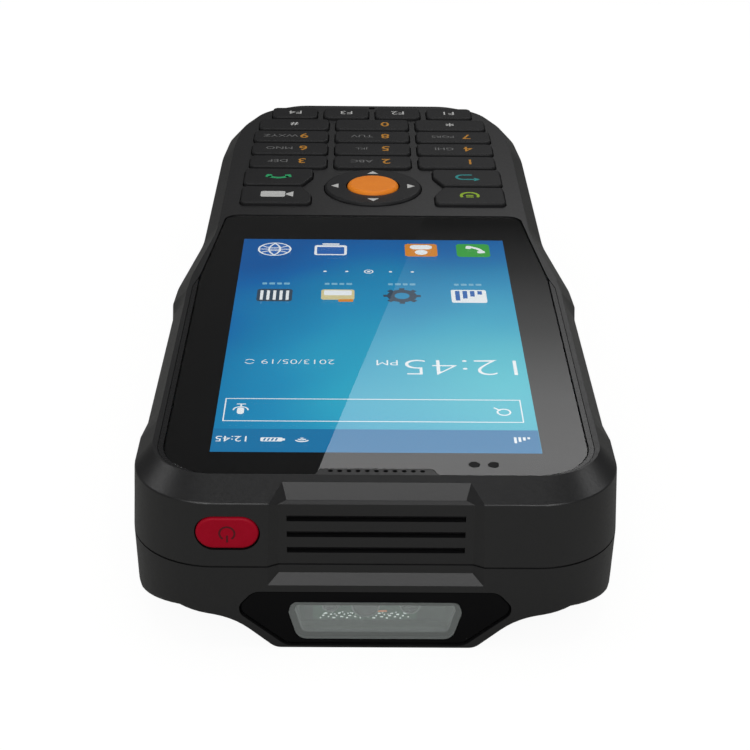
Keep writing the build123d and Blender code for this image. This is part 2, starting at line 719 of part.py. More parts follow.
def lanyard_notch(side):
    """The notch that a lanyard's loop passes through."""
    return box_between(
        sorted((side * 21, side * 45)),
        (along(LENGTH - 11.2), along(LENGTH + 5)),
        (LANYARD_TOP, SEAM_Z - 1.0),
    )


SHADOW_DEEP = 0.35
SHADOW_HIGH = 0.3


def shadow_line():
    """The fine step along the parting line, on the casing's outside and across the speaker recess."""
    cover = Rectangle(HEAD_WIDTH + 10, LENGTH + 10) - body_section(0, SHADOW_DEEP, SHADOW_DEEP, SHADOW_DEEP)
    all_round = prism(cover, SEAM_Z - SHADOW_HIGH, SEAM_Z + 1)
    recess_x = (-RECESS_HALF - 3, RECESS_HALF + 3)
    layer = box_between(recess_x, (along(-5), along(5)), (SEAM_Z - SHADOW_HIGH, SEAM_Z + 1))
    return all_round + (Pos(0, SHADOW_DEEP, 0) * speaker_recess() & layer)


def rear_housing():
    """The lower casing: it carries the scan engine, the battery bay and the board's bosses."""
    outer = rear_body(0, EDGE_ROUND)
    bay_y = (along(DOOR_START) - BAY_WALL, along(DOOR_END) + BAY_WALL)
    blocks = box_between((-BAY_HALF, BAY_HALF), bay_y, (-1, SEAM_Z))
    blocks += corner_block(-1)
    blocks += corner_block(1)
    blocks += box_between((-9.5, 9.5), (along(LENGTH - 6.5), along(LENGTH + 1)), (5, SEAM_Z))
    blocks += box_between((-26, 26), (along(-1), along(HEAD_WALL)), (-1, SEAM_Z))
    for x, y in SCREW_PLACES:
        blocks += rod_z(BOSS_R, x, y, (-1, SEAM_Z))
    shell = outer - (rear_body(WALL, 0) - blocks)
    shell += box_between((-BAY_HALF, BAY_HALF), bay_y, (BOTTOM_Z + 3, BAY_CEILING + WALL))
    for x, y in SCREW_PLACES:
        shell += rod_z(BOSS_R, x, y, (SEAM_Z - 1, BOARD_BOTTOM))
    shell -= speaker_recess()
    shell -= shadow_line()
    # scan window
    shell -= upright(frame_face(SEATING), -2, FRAME_SINK + FRAME_T)
    shell -= upright(window_face(-0.9), -1, HEAD_WALL + 1)
    # battery door opening, its ledge and the battery pocket
    opening = box_between((-DOOR_HALF, DOOR_HALF), DOOR_SPAN, (-1, BOTTOM_Z + 4))
    shell -= opening - rear_door_form(DOOR_SINK + DOOR_T + 0.05)
    pocket = box_between(
        (-POCKET_HALF, POCKET_HALF), (along(POCKET_START), along(POCKET_END)), (-1, BAY_CEILING)
    )
    shell -= pocket
    relief_y = (along(HINGE_D) - 2.6, along(DOOR_END))
    shell -= box_between((-DOOR_HALF, DOOR_HALF), relief_y, (-1, HINGE_Z + 2.6))
    for side in (-1, 1):
        socket_x = sorted((side * (DOOR_HALF - 1), side * (DOOR_HALF + 1.3)))
        shell -= rod_x(TRUNNION_R + 0.06, socket_x, along(HINGE_D), HINGE_Z)
    shell -= latch_room()
    # screws
    for x, y in SCREW_PLACES:
        shell -= rod_z(SCREW_HEAD_R + SEATING, x, y, (-1, SCREW_SEAT))
        shell -= rod_z(SCREW_R + 0.15, x, y, (0, BOARD_BOTTOM + 1))
    # rear camera and flash
    shell -= rod_z(CAMERA_R + SEATING, 0, along(CAMERA_D), (0, BOTTOM_Z + LENS_T))
    shell -= rod_z(CAMERA_R - 1.2, 0, along(CAMERA_D), (0, BOTTOM_Z + WALL + 1))
    shell -= rod_z(FLASH_R + SEATING, FLASH_X, along(CAMERA_D), (0, BOTTOM_Z + LENS_T))
    shell -= rod_z(FLASH_R - 0.7, FLASH_X, along(CAMERA_D), (0, BOTTOM_Z + WALL + 1))
    # socket and its cover
    shell -= on_tail(cover_outline(RUNNING), -1, COVER_SINK)
    shell -= on_tail(Rectangle(2 * USB_HALF + 0.4, USB_HIGH + 0.4), 0, SOCKET_CUT)
    for side in (-1, 1):
        shell -= lanyard_notch(side)
        shell -= rod_z(LANYARD_R, side * LANYARD_PLACE[0], LANYARD_PLACE[1], (-1, LANYARD_TOP + 1))
    shell -= seal_groove(0.0)
    return shell


SEAL_INSET = 0.6
SEAL_HEAD_INSET = 1.7  # behind the speaker recess
SEAL_W = 0.6


def seal_groove(slack):
    """A ring just inside the seam: the groove, and with some slack the seal in it."""
    near = slack
    far = SEAL_W - slack
    outer = body_section(0, SEAL_INSET + near, SEAL_HEAD_INSET + near, SEAL_INSET + near)
    inner = body_section(0, SEAL_INSET + far, SEAL_HEAD_INSET + far, SEAL_INSET + far)
    return prism(outer - inner, SEAM_Z - SEAL_W + slack, SEAM_Z)


# ---------------------------------------------------------------- battery door and latch
def rear_door_form(inset):
    """The bulge and the underside, raised by inset: the battery door follows it."""
    return box_between((-GRIP_HALF, GRIP_HALF), DOOR_SPAN, (BOTTOM_Z + inset, SEAM_Z)) + bulge(inset)


LATCH_HALF = 6.5
LATCH_LONG = 5.0
LATCH_BACK = 7.6  # latch centre, from the door's head edge
TONGUE_HALF = 4.0
TONGUE_T = 1.0
LATCH_LIFT = 0.1  # latch plate above the door's inner face
RAMP_TILT = degrees(atan2(BOTTOM_Z, BULGE_FLAT - BULGE_START))


def on_ramp(solid):
    """Takes a piece drawn about the latch's centre, with z = 0 on the door's face, to the ramp."""
    distance = DOOR_START + LATCH_BACK
    share = (distance - BULGE_START) / (BULGE_FLAT - BULGE_START)
    height = BOTTOM_Z * (1 - share) + DOOR_SINK
    return Pos(0, along(distance), height) * Rot(-RAMP_TILT, 0, 0) * solid


def latch_room():
    """The room over the door that the latch slides in, with the slot that its tongue enters."""
    room = box_between(
        (-LATCH_HALF - 1.6, LATCH_HALF + 1.6),
        (-LATCH_LONG / 2 - LATCH_TRAVEL - 1.6, LATCH_LONG / 2 + 1.2),
        (DOOR_T - 0.5, DOOR_T + LATCH_LIFT + TONGUE_T + 0.3),
    )
    slot = box_between(
        (-TONGUE_HALF - 0.3, TONGUE_HALF + 0.3),
        (-LATCH_BACK - LATCH_TRAVEL - 0.4, 0),
        (DOOR_T + LATCH_LIFT - 0.3, DOOR_T + LATCH_LIFT + TONGUE_T + 0.3),
    )
    return on_ramp(room + slot)


def battery_door():
    """The door over the battery. Two trunnions at its tail end turn in the bay's side walls."""
    door = rear_door_form(DOOR_SINK) - rear_door_form(DOOR_SINK + DOOR_T)
    y_span = (along(DOOR_START) + DOOR_GAP, along(HINGE_D) + 1.5)
    door &= box_between((-DOOR_HALF + DOOR_GAP, DOOR_HALF - DOOR_GAP), y_span, (-1, BOTTOM_Z + 4))
    tail_edge = door.edges().filter_by(Axis.X).group_by(Axis.Y)[-1].sort_by(Axis.Z)[0]
    door = chamfer(tail_edge, 0.9)
    ear_z = (DOOR_SINK + 0.6, HINGE_Z + 1.0)
    for side in (-1, 1):
        outer = side * (DOOR_HALF - DOOR_GAP)
        inner = side * (DOOR_HALF - 3.0)
        door += box_between(sorted((inner, outer)), (along(HINGE_D) - 1.3, along(HINGE_D) + 1.2), ear_z)
        door += rod_x(TRUNNION_R, sorted((outer, side * (DOOR_HALF + 1.1))), along(HINGE_D), HINGE_Z)
    # window that the latch runs in
    window = box_between(
        (-LATCH_HALF - RUNNING, LATCH_HALF + RUNNING),
        (-LATCH_LONG / 2 - LATCH_TRAVEL - RUNNING, LATCH_LONG / 2 + RUNNING),
        (-1, DOOR_T + 1),
    )
    return door - on_ramp(window)


def door_latch():
    """The slider that locks the door. It is drawn back, with its tongue clear of the bay's wall."""
    plate = (DOOR_T + LATCH_LIFT, DOOR_T + LATCH_LIFT + TONGUE_T)
    grip = box_between((-LATCH_HALF, LATCH_HALF), (-LATCH_LONG / 2, LATCH_LONG / 2), (0.2, plate[1]))
    for number in range(3):
        y = (number - 1) * 1.3
        grip -= box_between((-LATCH_HALF + 1, LATCH_HALF - 1), (y - 0.3, y + 0.3), (0, 0.6))
    wing_y = (-LATCH_LONG / 2 - 1, LATCH_LONG / 2 + 0.8)
    wings = box_between((-LATCH_HALF - 1.2, LATCH_HALF + 1.2), wing_y, plate)
    tongue = box_between((-TONGUE_HALF, TONGUE_HALF), (-LATCH_BACK + 0.5, 0), plate)
    return on_ramp(grip + wings + tongue)


# ---------------------------------------------------------------- display
def cover_glass():
    """Toughened cover glass, notched at the head for the earpiece tongue."""
    face = glass_section(0) - ear_tab(SEATING)
    glass = prism(face, GLASS_SEAT, HEIGHT - GLASS_SINK)
    return chamfer(glass.faces().sort_by(Axis.Z)[-1].edges(), 0.15)


def display_trim():
    """The thin rim between the glass and the housing."""
    face = glass_section(0, TRIM_WIDTH) - glass_section(SEATING) - ear_tab(0.6)
    face &= box_between((-60, 60), (along(GLASS_START + 0.6), along(GLASS_END - 33)), (-1, 1))
    return prism(face, GLASS_SEAT, HEIGHT - 0.05)


def display_module():
    """The display panel with its backlight, laid against the glass."""
    y_span = (along(MODULE_START), along(MODULE_END))
    return box_between((-MODULE_HALF, MODULE_HALF), y_span, (MODULE_BOTTOM, GLASS_SEAT - 0.05))


MODULE_T = 2.9
MODULE_BOTTOM = GLASS_SEAT - 0.05 - MODULE_T


def display_carrier():
    """A pressed tray that carries the display module on the board."""
    tray = box_between(
        (-MODULE_HALF + 0.4, MODULE_HALF - 0.4),
        (along(MODULE_START) + 0.5, along(MODULE_END) - 0.5),
        (BOARD_TOP + 0.02, MODULE_BOTTOM - 0.02),
    )
    centre = (along(MODULE_START) + along(MODULE_END)) / 2
    for row in (-1, 1):
        for side in (-1, 1):
            tray -= Pos(side * 13.5, centre + row * 23, BOARD_TOP) * Box(21, 38, 10)
    return tray


# ---------------------------------------------------------------- keypad pieces under the keys
def keypad_zone(inset, bottom, top):
    """A plate that fills the front housing under the keypad, cut clear of the screw bosses."""
    sheet = body_section(0, BOARD_INSET, HEAD_WALL + 1.5, WALL + 2.0)
    zone = box_between((-60, 60), (along(KEYPAD_START) - inset, along(LENGTH)), (-1, 1))
    plate = prism(sheet & zone, bottom, top)
    for x, y in SCREW_PLACES:
        plate -= rod_z(FRONT_BOSS_R + 0.3, x, y, (bottom - 1, top + 1))
    return plate


def keypad_mat():
    """The silicone sheet that the keys press on."""
    return keypad_zone(2.0, MAT_BOTTOM, MAT_TOP)


def key_domes():
    """The metal snap domes on the board, one under each key and four under the rocker."""
    places = [outline.center() for outline in KEYS.values()]
    spots = [(p.X, p.Y) for p in places] + [(0, NAV_Y)]
    reach = NAV_R - 2.0
    spots += [(reach, NAV_Y), (-reach, NAV_Y), (0, NAV_Y + reach), (0, NAV_Y - reach)]
    domes = []
    for x, y in spots:
        dome = rod_z(2.1, x, y, (BOARD_TOP, BOARD_TOP + DOME_H))
        domes.append(chamfer(dome.edges().sort_by(Axis.Z)[-1], DOME_H * 0.6).solids()[0])
    return Compound(children=domes)


# ---------------------------------------------------------------- board and what is on it
def main_board():
    """The printed circuit board, held between the housings' bosses."""
    face = body_section(0, BOARD_INSET, HEAD_WALL + 2.0, WALL + 2.0)
    board = prism(face, BOARD_BOTTOM, BOARD_TOP)
    for x, y in SCREW_PLACES:
        board -= rod_z(SCREW_R + 0.15, x, y, (BOARD_BOTTOM - 1, BOARD_TOP + 1))
    notch_half = SLOT_HALF + 0.9
    notch_y = (along(0), along(SPEAKER_END) + 0.3)
    return board - box_between((-notch_half, notch_half), notch_y, (BOARD_BOTTOM - 1, BOARD_TOP + 1))


def board_shields():
    """Three pressed shield cans on the board's underside."""
    cans = []
    for x, distance, width, depth in ((-14.0, 34, 24, 26), (14.0, 34, 24, 26), (0.0, 76, 40, 16)):
        can = box_between(
            (x - width / 2, x + width / 2),
            (along(distance - depth / 2), along(distance + depth / 2)),
            (BOARD_BOTTOM - 2.0, BOARD_BOTTOM),
        )
        can = fillet(can.edges().filter_by(Axis.Z), 1.0)
        cans.append(can.solids()[0])
    return Compound(children=cans)


def power_button():
    """The power button: an oblong cap with a flange behind the head wall."""
    cap = on_head(button_outline(0), 0, HEAD_WALL + 0.6)
    cap = fillet(cap.faces().sort_by(Axis.Y)[0].edges(), 0.5)
    flange_start = HEAD_WALL + SEATING
    return cap + on_head(button_outline(BUTTON_FLANGE), flange_start, flange_start + 0.6)


BUTTON_BACK = HEAD_WALL + SEATING + 0.6


def power_switch():
    """The side-push switch behind the power button."""
    start = BUTTON_BACK + BUTTON_TRAVEL + 0.1
    body_y = (along(start + 0.6), along(start + 3.6))
    body = box_between((BUTTON_X - 2.4, BUTTON_X + 2.4), body_y, (BOARD_BOTTOM - 3.0, BOARD_BOTTOM))
    plunger_y = (along(start), along(start + 0.7))
    plunger_z = BOARD_BOTTOM - 1.5
    return body + box_between((BUTTON_X - 1, BUTTON_X + 1), plunger_y, (plunger_z - 0.6, plunger_z + 0.6))


FLANK_AT_KEY = HEAD_HALF - 0.7 - DRAFT * (SCAN_KEY_Z - SEAM_Z) / (BEVEL_Z - SEAM_Z)
SCAN_KEY_FACE = FLANK_AT_KEY + 0.35
SCAN_KEY_INNER = FLANK_AT_KEY - WALL
SCAN_FLANGE_T = 0.8


def scan_key(side):
    """A scan key in the finger recess of one flank."""
    cap = on_flank(side, 0, SCAN_KEY_INNER - 0.3, SCAN_KEY_FACE)
    outer = cap.faces().sort_by(Axis.X)[-1 if side > 0 else 0]
    cap = fillet(outer.edges(), 0.35)
    top = SCAN_KEY_INNER - 0.3
    return cap + on_flank(side, 0.4, top - SCAN_FLANGE_T, top)


def scan_key_switches():
    """The two side-push switches behind the scan keys."""
    reach = SCAN_KEY_INNER - 0.3 - SCAN_FLANGE_T - KEY_TRAVEL - 0.1
    switches = []
    for side in (-1, 1):
        body = box_between(
            sorted((side * (reach - 4.0), side * (reach - 0.5))),
            (along(SCAN_KEY_D) - 3, along(SCAN_KEY_D) + 3),
            (BOARD_BOTTOM - 3.4, BOARD_BOTTOM),
        )
        plunger_z = BOARD_BOTTOM - 2.0
        plunger = box_between(
            sorted((side * (reach - 0.6), side * reach)),
            (along(SCAN_KEY_D) - 1.2, along(SCAN_KEY_D) + 1.2),
            (plunger_z - 0.7, plunger_z + 0.7),
        )
        switches.append((body + plunger).solids()[0])
    return Compound(children=switches)


def earpiece():
    """The telephone receiver under the row of holes."""
    y_span = (along(EARPIECE_D) - 0.6, along(MODULE_START) - 0.3)
    return box_between((-8.0, 8.0), y_span, (BOARD_TOP + 0.02, UNDER_CEILING - 0.05))


def sensor_light_pipes():
    """The two light pipes of the proximity and light sensors."""
    pipes = [rod_z(SENSOR_R, x, y, (BOARD_TOP, GLASS_SEAT - 0.05)).solids()[0] for x, y in SENSOR_PLACES]
    return Compound(children=pipes)


SPEAKER_END = HEAD_WALL + 4.8


def loudspeaker():
    """The loudspeaker box behind the head's slots."""
    body = box_between(
        (-SLOT_HALF - 0.6, SLOT_HALF + 0.6),
        (along(HEAD_WALL) + 0.1, along(SPEAKER_END)),
        (SEAM_Z + 0.6, BOARD_TOP - 0.1),
    )
    return fillet(body.edges().filter_by(Axis.Y), 1.0)


ENGINE_FLOOR = WALL + BRACKET_T
ENGINE_START = HEAD_WALL + 1.2
OPTICS_Z = ENGINE_FLOOR + ENGINE_H / 2
ENGINE_OPTICS = [(-1.5, 2.4), (5.5, 1.8), (-7.0, 1.5)]  # imager lens, lamp and aimer: place and radius


def scan_engine():
    """The imager's body."""
    body = box_between(
        (-ENGINE_W / 2, ENGINE_W / 2),
        (along(ENGINE_START), along(ENGINE_START + ENGINE_D)),
        (ENGINE_FLOOR, ENGINE_FLOOR + ENGINE_H),
    )
    body = fillet(body.edges().filter_by(Axis.Y), 0.6)
    for x, radius in ENGINE_OPTICS:
        body -= rod_y(radius, x, (along(ENGINE_START) - 1, along(ENGINE_START) + 0.6), OPTICS_Z)
    return body


def scan_engine_optics():
    """The imager's lens, lamp and aimer."""
    optics = []
    for x, radius in ENGINE_OPTICS:
        optic = rod_y(radius - 0.05, x, (along(ENGINE_START) - 0.7, along(ENGINE_START) + 0.58), OPTICS_Z)
        optics.append(fillet(optic.edges().sort_by(Axis.Y)[0], 0.3).solids()[0])
    return Compound(children=optics)


BRACKET_REACH = ENGINE_W / 2 + 0.8
BRACKET_SCREW = (ENGINE_W / 2 - 2.5, ENGINE_START + ENGINE_D + 2.5)


def scan_engine_bracket():
    """The plate that holds the engine on the floor of the nose."""
    y_span = (along(ENGINE_START - 0.5), along(BRACKET_SCREW[1] + 1.6))
    plate = box_between((-BRACKET_REACH, BRACKET_REACH), y_span, (WALL + 0.02, ENGINE_FLOOR - 0.02))
    back = box_between(
        (-ENGINE_W / 2, ENGINE_W / 2),
        (along(ENGINE_START + ENGINE_D + 0.1), along(ENGINE_START + ENGINE_D + 0.9)),
        (WALL + 0.1, ENGINE_FLOOR + 4.5),
    )
    plate += back
    for side in (-1, 1):
        plate -= rod_z(0.9, side * BRACKET_SCREW[0], along(BRACKET_SCREW[1]), (0, ENGINE_FLOOR + 1))
    return plate


def bracket_screws():
    """The two small screws of the engine's bracket."""
    screws = []
    for side in (-1, 1):
        x = side * BRACKET_SCREW[0]
        y = along(BRACKET_SCREW[1])
        head = rod_z(1.15, x, y, (ENGINE_FLOOR, ENGINE_FLOOR + 0.8))
        shank = rod_z(0.75, x, y, (WALL + 0.05, ENGINE_FLOOR))
        screws.append((head + shank).solids()[0])
    return Compound(children=screws)


def battery_pack():
    """The removable battery."""
    middle = (along(POCKET_START) + along(POCKET_END)) / 2
    pack = box_between(
        (-BATTERY_W / 2, BATTERY_W / 2),
        (middle - BATTERY_L / 2, middle + BATTERY_L / 2),
        (BATTERY_BOTTOM, BATTERY_BOTTOM + BATTERY_T),
    )
    return fillet(pack.edges().filter_by(Axis.Y), 2.0)


def battery_contacts():
    """Three spring contacts in the bay's ceiling."""
    contacts = []
    for number in range(3):
        x = (number - 1) * 4.0
        y = along(POCKET_START) + 6
        spring = box_between((x - 0.8, x + 0.8), (y - 1.5, y + 1.5), (BAY_CEILING - 0.45, BAY_CEILING))
        contacts.append(spring.solids()[0])
    return Compound(children=contacts)


def rear_camera():
    """The camera module above its window."""
    base = BOTTOM_Z + WALL + 0.05
    body = box_between((-4.6, 4.6), (along(CAMERA_D) - 4.6, along(CAMERA_D) + 4.6), (base, base + 4.6))
    return body + rod_z(2.9, 0, along(CAMERA_D), (BOTTOM_Z + LENS_T + 0.05, base))


def camera_window():
    """The round window over the camera."""
    return rod_z(CAMERA_R, 0, along(CAMERA_D), (BOTTOM_Z + 0.25, BOTTOM_Z + LENS_T))


def flash_lens():
    """The clear lens of the flash lamp."""
    return rod_z(FLASH_R, FLASH_X, along(CAMERA_D), (BOTTOM_Z + 0.25, BOTTOM_Z + LENS_T))


USB_HALF = 3.8
USB_HIGH = 2.9


def usb_socket():
    """The charging and data socket."""
    body = on_tail(Rectangle(2 * USB_HALF, USB_HIGH), COVER_SINK + 1.2, COVER_SINK + 6.4)
    tongue = on_tail(Rectangle(2 * USB_HALF - 2.2, 0.7), COVER_SINK + 0.9, COVER_SINK + 6.0)
    mouth = on_tail(Rectangle(2 * USB_HALF - 0.8, USB_HIGH - 0.8), COVER_SINK + 0.9, COVER_SINK + 5.6)
    return body - mouth + tongue


def port_cover():
    """The rubber cover of the socket, with the plug that seals it. It turns about its lower edge."""
    cap = on_tail(cover_outline(0), 0.05, COVER_SINK - 0.1)
    cap = fillet(cap.faces().sort_by(Axis.Y)[-1].edges(), 0.3)
    cap = chamfer(cap.faces().sort_by(Axis.Y)[0].edges(), 0.35)
    plug = on_tail(Rectangle(2 * USB_HALF - 0.4, USB_HIGH - 0.5), COVER_SINK - 0.2, COVER_SINK + 0.7)
    return cap + plug


def microphone():
    """The microphone under its hole at the tail."""
    x, y = MIC_PLACE
    return box_between((x - 1.9, x + 1.9), (y - 1.0, y + 0.4), (UNDER_CEILING - 1.2, UNDER_CEILING - 0.05))


def vibration_motor():
    """The coin motor on the board's underside."""
    return rod_z(4.0, 22.0, along(64), (BOARD_BOTTOM - 2.8, BOARD_BOTTOM))


def seam_seal():
    """The sealing cord in the rear housing's rim."""
    return seal_groove(0.04)


# ---------------------------------------------------------------- write the sub-parts
BUILDERS = {
    "front_housing": front_housing,
    "rear_housing": rear_housing,
    "seam_seal": seam_seal,
    "display_trim": display_trim,
    "cover_glass": cover_glass,
    "display_module": display_module,
    "display_carrier": display_carrier,
    "main_board": main_board,
    "board_shields": board_shields,
    "key_domes": key_domes,
    "keypad_mat": keypad_mat,
    "earpiece": earpiece,
    "sensor_light_pipes": sensor_light_pipes,
    "loudspeaker": loudspeaker,
    "power_switch": power_switch,
    "scan_key_switches": scan_key_switches,
    "scan_window_frame": scan_window_frame,
    "scan_window": scan_window,
    "scan_engine": scan_engine,
    "scan_engine_optics": scan_engine_optics,
    "scan_engine_bracket": scan_engine_bracket,
    "bracket_screws": bracket_screws,
    "battery_pack": battery_pack,
    "battery_contacts": battery_contacts,
    "rear_camera": rear_camera,
    "camera_window": camera_window,
    "flash_lens": flash_lens,
    "usb_socket": usb_socket,
    "microphone": microphone,
    "vibration_motor": vibration_motor,
    "housing_screws": housing_screws,
    "power_button": power_button,
    "nav_ring": nav_ring,
    "nav_pivot": nav_pivot,
    "key_ok": ok_key,
    "battery_door": battery_door,
    "door_latch": door_latch,
    "port_cover": port_cover,
}

for name, build in BUILDERS.items():
    export_step(build(), f"parts/{name}.step")
export_step(scan_key(-1), "parts/scan_key_left.step")
export_step(scan_key(1), "parts/scan_key_right.step")
for name, outline in KEYS.items():
    export_step(key_cap(outline), f"parts/{name}.step")
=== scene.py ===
import math

import bmesh
import bpy
from mathutils import Matrix, Vector


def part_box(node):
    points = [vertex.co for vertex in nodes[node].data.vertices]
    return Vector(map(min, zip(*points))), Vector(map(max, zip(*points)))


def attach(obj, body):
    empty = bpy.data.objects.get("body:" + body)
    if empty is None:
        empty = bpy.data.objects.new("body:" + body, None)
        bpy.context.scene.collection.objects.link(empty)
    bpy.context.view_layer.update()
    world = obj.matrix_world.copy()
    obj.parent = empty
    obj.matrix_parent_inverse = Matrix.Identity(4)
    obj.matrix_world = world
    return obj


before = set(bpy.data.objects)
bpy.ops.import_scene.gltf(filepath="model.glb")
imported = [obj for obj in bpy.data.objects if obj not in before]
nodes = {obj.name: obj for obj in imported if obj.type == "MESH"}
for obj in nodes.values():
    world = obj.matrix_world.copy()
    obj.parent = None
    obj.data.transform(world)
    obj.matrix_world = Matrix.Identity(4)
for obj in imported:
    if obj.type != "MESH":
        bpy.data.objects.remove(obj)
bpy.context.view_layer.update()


# Casing: front housing, rear housing, battery door and its latch. Injection-moulded PC/ABS from a tool
# with a fine spark-eroded texture, which gives black faces a soft grey sheen where they slope to the light.
# The housings are clamped together by six screws from the back.
def linear(code):
    """A linear colour from an sRGB hex code."""
    shares = [int(code[place : place + 2], 16) / 255 for place in (1, 3, 5)]
    return [s / 12.92 if s <= 0.04045 else ((s + 0.055) / 1.055) ** 2.4 for s in shares] + [1.0]


def add(tree, kind, inputs=None, stops=(), **settings):
    """Adds a shader node. inputs maps a socket to its value, or to the output that feeds it. stops are the
    rising positions and the colours of a colour ramp."""
    made = tree.nodes.new("ShaderNode" + kind)
    for name, value in settings.items():
        setattr(made, name, value)
    for number, (position, colour) in enumerate(stops):
        elements = made.color_ramp.elements
        element = elements[number] if number < 2 else elements.new(position)
        element.position = position
        element.color = colour
    for socket, value in (inputs or {}).items():
        if isinstance(value, bpy.types.NodeSocket):
            tree.links.new(value, made.inputs[socket])
        else:
            made.inputs[socket].default_value = value
    return made


def new_material(name, **constants):
    """A material with one Principled shader, whose sockets take the constants."""
    material = bpy.data.materials.new(name)
    material.use_nodes = True
    tree = material.node_tree
    tree.nodes.clear()
    inputs = {socket.replace("_", " "): value for socket, value in constants.items()}
    shader = add(tree, "BsdfPrincipled", inputs)
    add(tree, "OutputMaterial", {"Surface": shader.outputs["BSDF"]})
    return material, tree, shader


def shader_of(material):
    """The material's Principled shader."""
    return next(node for node in material.node_tree.nodes if node.type == "BSDF_PRINCIPLED")


def moulded(material, tone_a, tone_b, patch_mm, grain_mm, relief, rough):
    """Gives a moulded plastic its faint colour drift, its uneven sheen and its tool texture."""
    tree = material.node_tree
    shader = shader_of(material)
    place = add(tree, "TexCoord").outputs["Object"]
    drift = add(
        tree, "TexNoise", {"Vector": place, "Scale": 1000 / patch_mm, "Detail": 3.0, "Roughness": 0.6}
    )
    tones = ((0.3, linear(tone_a)), (0.7, linear(tone_b)))
    tone = add(tree, "ValToRGB", {"Fac": drift.outputs["Fac"]}, tones)
    tree.links.new(tone.outputs["Color"], shader.inputs["Base Color"])
    grain = add(
        tree, "TexNoise", {"Vector": place, "Scale": 1000 / grain_mm, "Detail": 2.0, "Roughness": 0.55}
    )
    height = grain.outputs["Fac"]
    span = {"From Min": 0.3, "From Max": 0.7, "To Min": rough[0], "To Max": rough[1]}
    sheen = add(tree, "MapRange", {"Value": height, **span})
    tree.links.new(sheen.outputs["Result"], shader.inputs["Roughness"])
    texture = add(tree, "Bump", {"Height": height, "Strength": relief, "Distance": grain_mm * 0.0002})
    tree.links.new(texture.outputs["Normal"], shader.inputs["Normal"])


def dress(material, *names):
    """Gives CAD nodes a material."""
    for name in names:
        slots = nodes[name].data.materials
        slots.clear()
        slots.append(material)


# Spark-eroded grain is 0.1 mm across. It is drawn at 0.4 mm so that it shows.
casing_abs, _, _ = new_material("casing_abs_spark_eroded", IOR=1.5, Specular_IOR_Level=0.85)
moulded(casing_abs, "#131314", "#171718", patch_mm=24, grain_mm=0.4, relief=0.1, rough=(0.32, 0.4))
dress(casing_abs, "front_housing", "rear_housing", "battery_door", "door_latch")


# Key caps, the four-way rocker and the two side scan keys. Moulded ABS with a satin lacquer, finer in grain
# and duller than the casing. Each cap is held under the housing by its flange.
key_abs, _, _ = new_material("keycap_abs_satin", IOR=1.5, Specular_IOR_Level=0.25)
moulded(key_abs, "#1f1f20", "#232324", patch_mm=9, grain_mm=0.3, relief=0.1, rough=(0.36, 0.46))
key_names = ["key_camera", "key_call", "key_menu", "key_back", "key_hash", "key_star"]
key_names += [f"key_{number}" for number in range(10)] + [f"key_f{number}" for number in range(1, 5)]
dress(key_abs, *key_names, "nav_ring", "scan_key_left", "scan_key_right")


# Centre key of the rocker. Orange polycarbonate, coloured right through and moulded with a satin face, so
# it keeps one even colour. It slides in the rocker's bore.
orange_pc, _, _ = new_material("ok_key_orange_polycarbonate", IOR=1.58, Specular_IOR_Level=0.25)
moulded(orange_pc, "#ea800a", "#f08810", patch_mm=5, grain_mm=0.35, relief=0.12, rough=(0.42, 0.5))
dress(orange_pc, "key_ok")


# Power button. Dark red ABS, moulded with a fine grain, with the usual sign pad-printed on it in a darker
# red. It slides in the head face.
red_abs, _, _ = new_material("power_button_red_abs", IOR=1.5, Specular_IOR_Level=0.1)
moulded(red_abs, "#9e0820", "#a80d27", patch_mm=6, grain_mm=0.3, relief=0.15, rough=(0.3, 0.4))
dress(red_abs, "power_button")


def finish_piece(mesh, name, materials, body, place=Matrix.Identity(4)):
    """Makes a bmesh a piece that rides on a body. place takes it to the object's frame."""
    mesh.transform(place)
    data = bpy.data.meshes.new(name)
    mesh.to_mesh(data)
    mesh.free()
    for material in materials:
        data.materials.append(material)
    piece = bpy.data.objects.new(name, data)
    bpy.context.scene.collection.objects.link(piece)
    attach(piece, body)


def tint(mesh, old, index):
    """Sets the material of the faces that have come since old was listed."""
    for face in set(mesh.faces) - old:
        face.material_index = index


def add_plate(mesh, x, y, width, depth, corner=0.0, z=0.0, index=0, turn=0.0):
    """Adds a flat oblong with rounded corners, in millimetres."""
    old = set(mesh.faces)
    where = Matrix.Translation((x, y, z)) @ Matrix.Rotation(turn, 4, "Z")
    where = where @ Matrix.Diagonal((width, depth, 1, 1))
    made = bmesh.ops.create_grid(mesh, x_segments=1, y_segments=1, size=0.5, matrix=where)
    if corner:
        bmesh.ops.bevel(
            mesh, geom=made["verts"], offset=corner, affect="VERTICES", segments=5, profile=0.5, material=-1
        )
    tint(mesh, old, index)


def add_disc(mesh, x, y, radius, z=0.0, index=0, segments=40):
    """Adds a flat disc, in millimetres."""
    old = set(mesh.faces)
    where = Matrix.Translation((x, y, z))
    bmesh.ops.create_circle(mesh, cap_ends=True, segments=segments, radius=radius, matrix=where)
    tint(mesh, old, index)


def add_arc(mesh, x, y, radius, width, start, sweep, z=0.0, index=0):
    """Adds a flat arc, from the angle start on through sweep, in millimetres and degrees."""
    old = set(mesh.faces)
    way = Vector((math.cos(math.radians(start)), math.sin(math.radians(start)), 0))
    centre = Vector((x, y, z))
    ends = [mesh.verts.new(centre + way * (radius + side * width / 2)) for side in (-1, 1)]
    bmesh.ops.spin(
        mesh,
        geom=ends + [mesh.edges.new(ends)],
        cent=centre,
        axis=(0, 0, 1),
        angle=math.radians(sweep),
        steps=max(6, int(abs(sweep) / 9)),
        use_merge=abs(sweep) == 360,
    )
    tint(mesh, old, index)


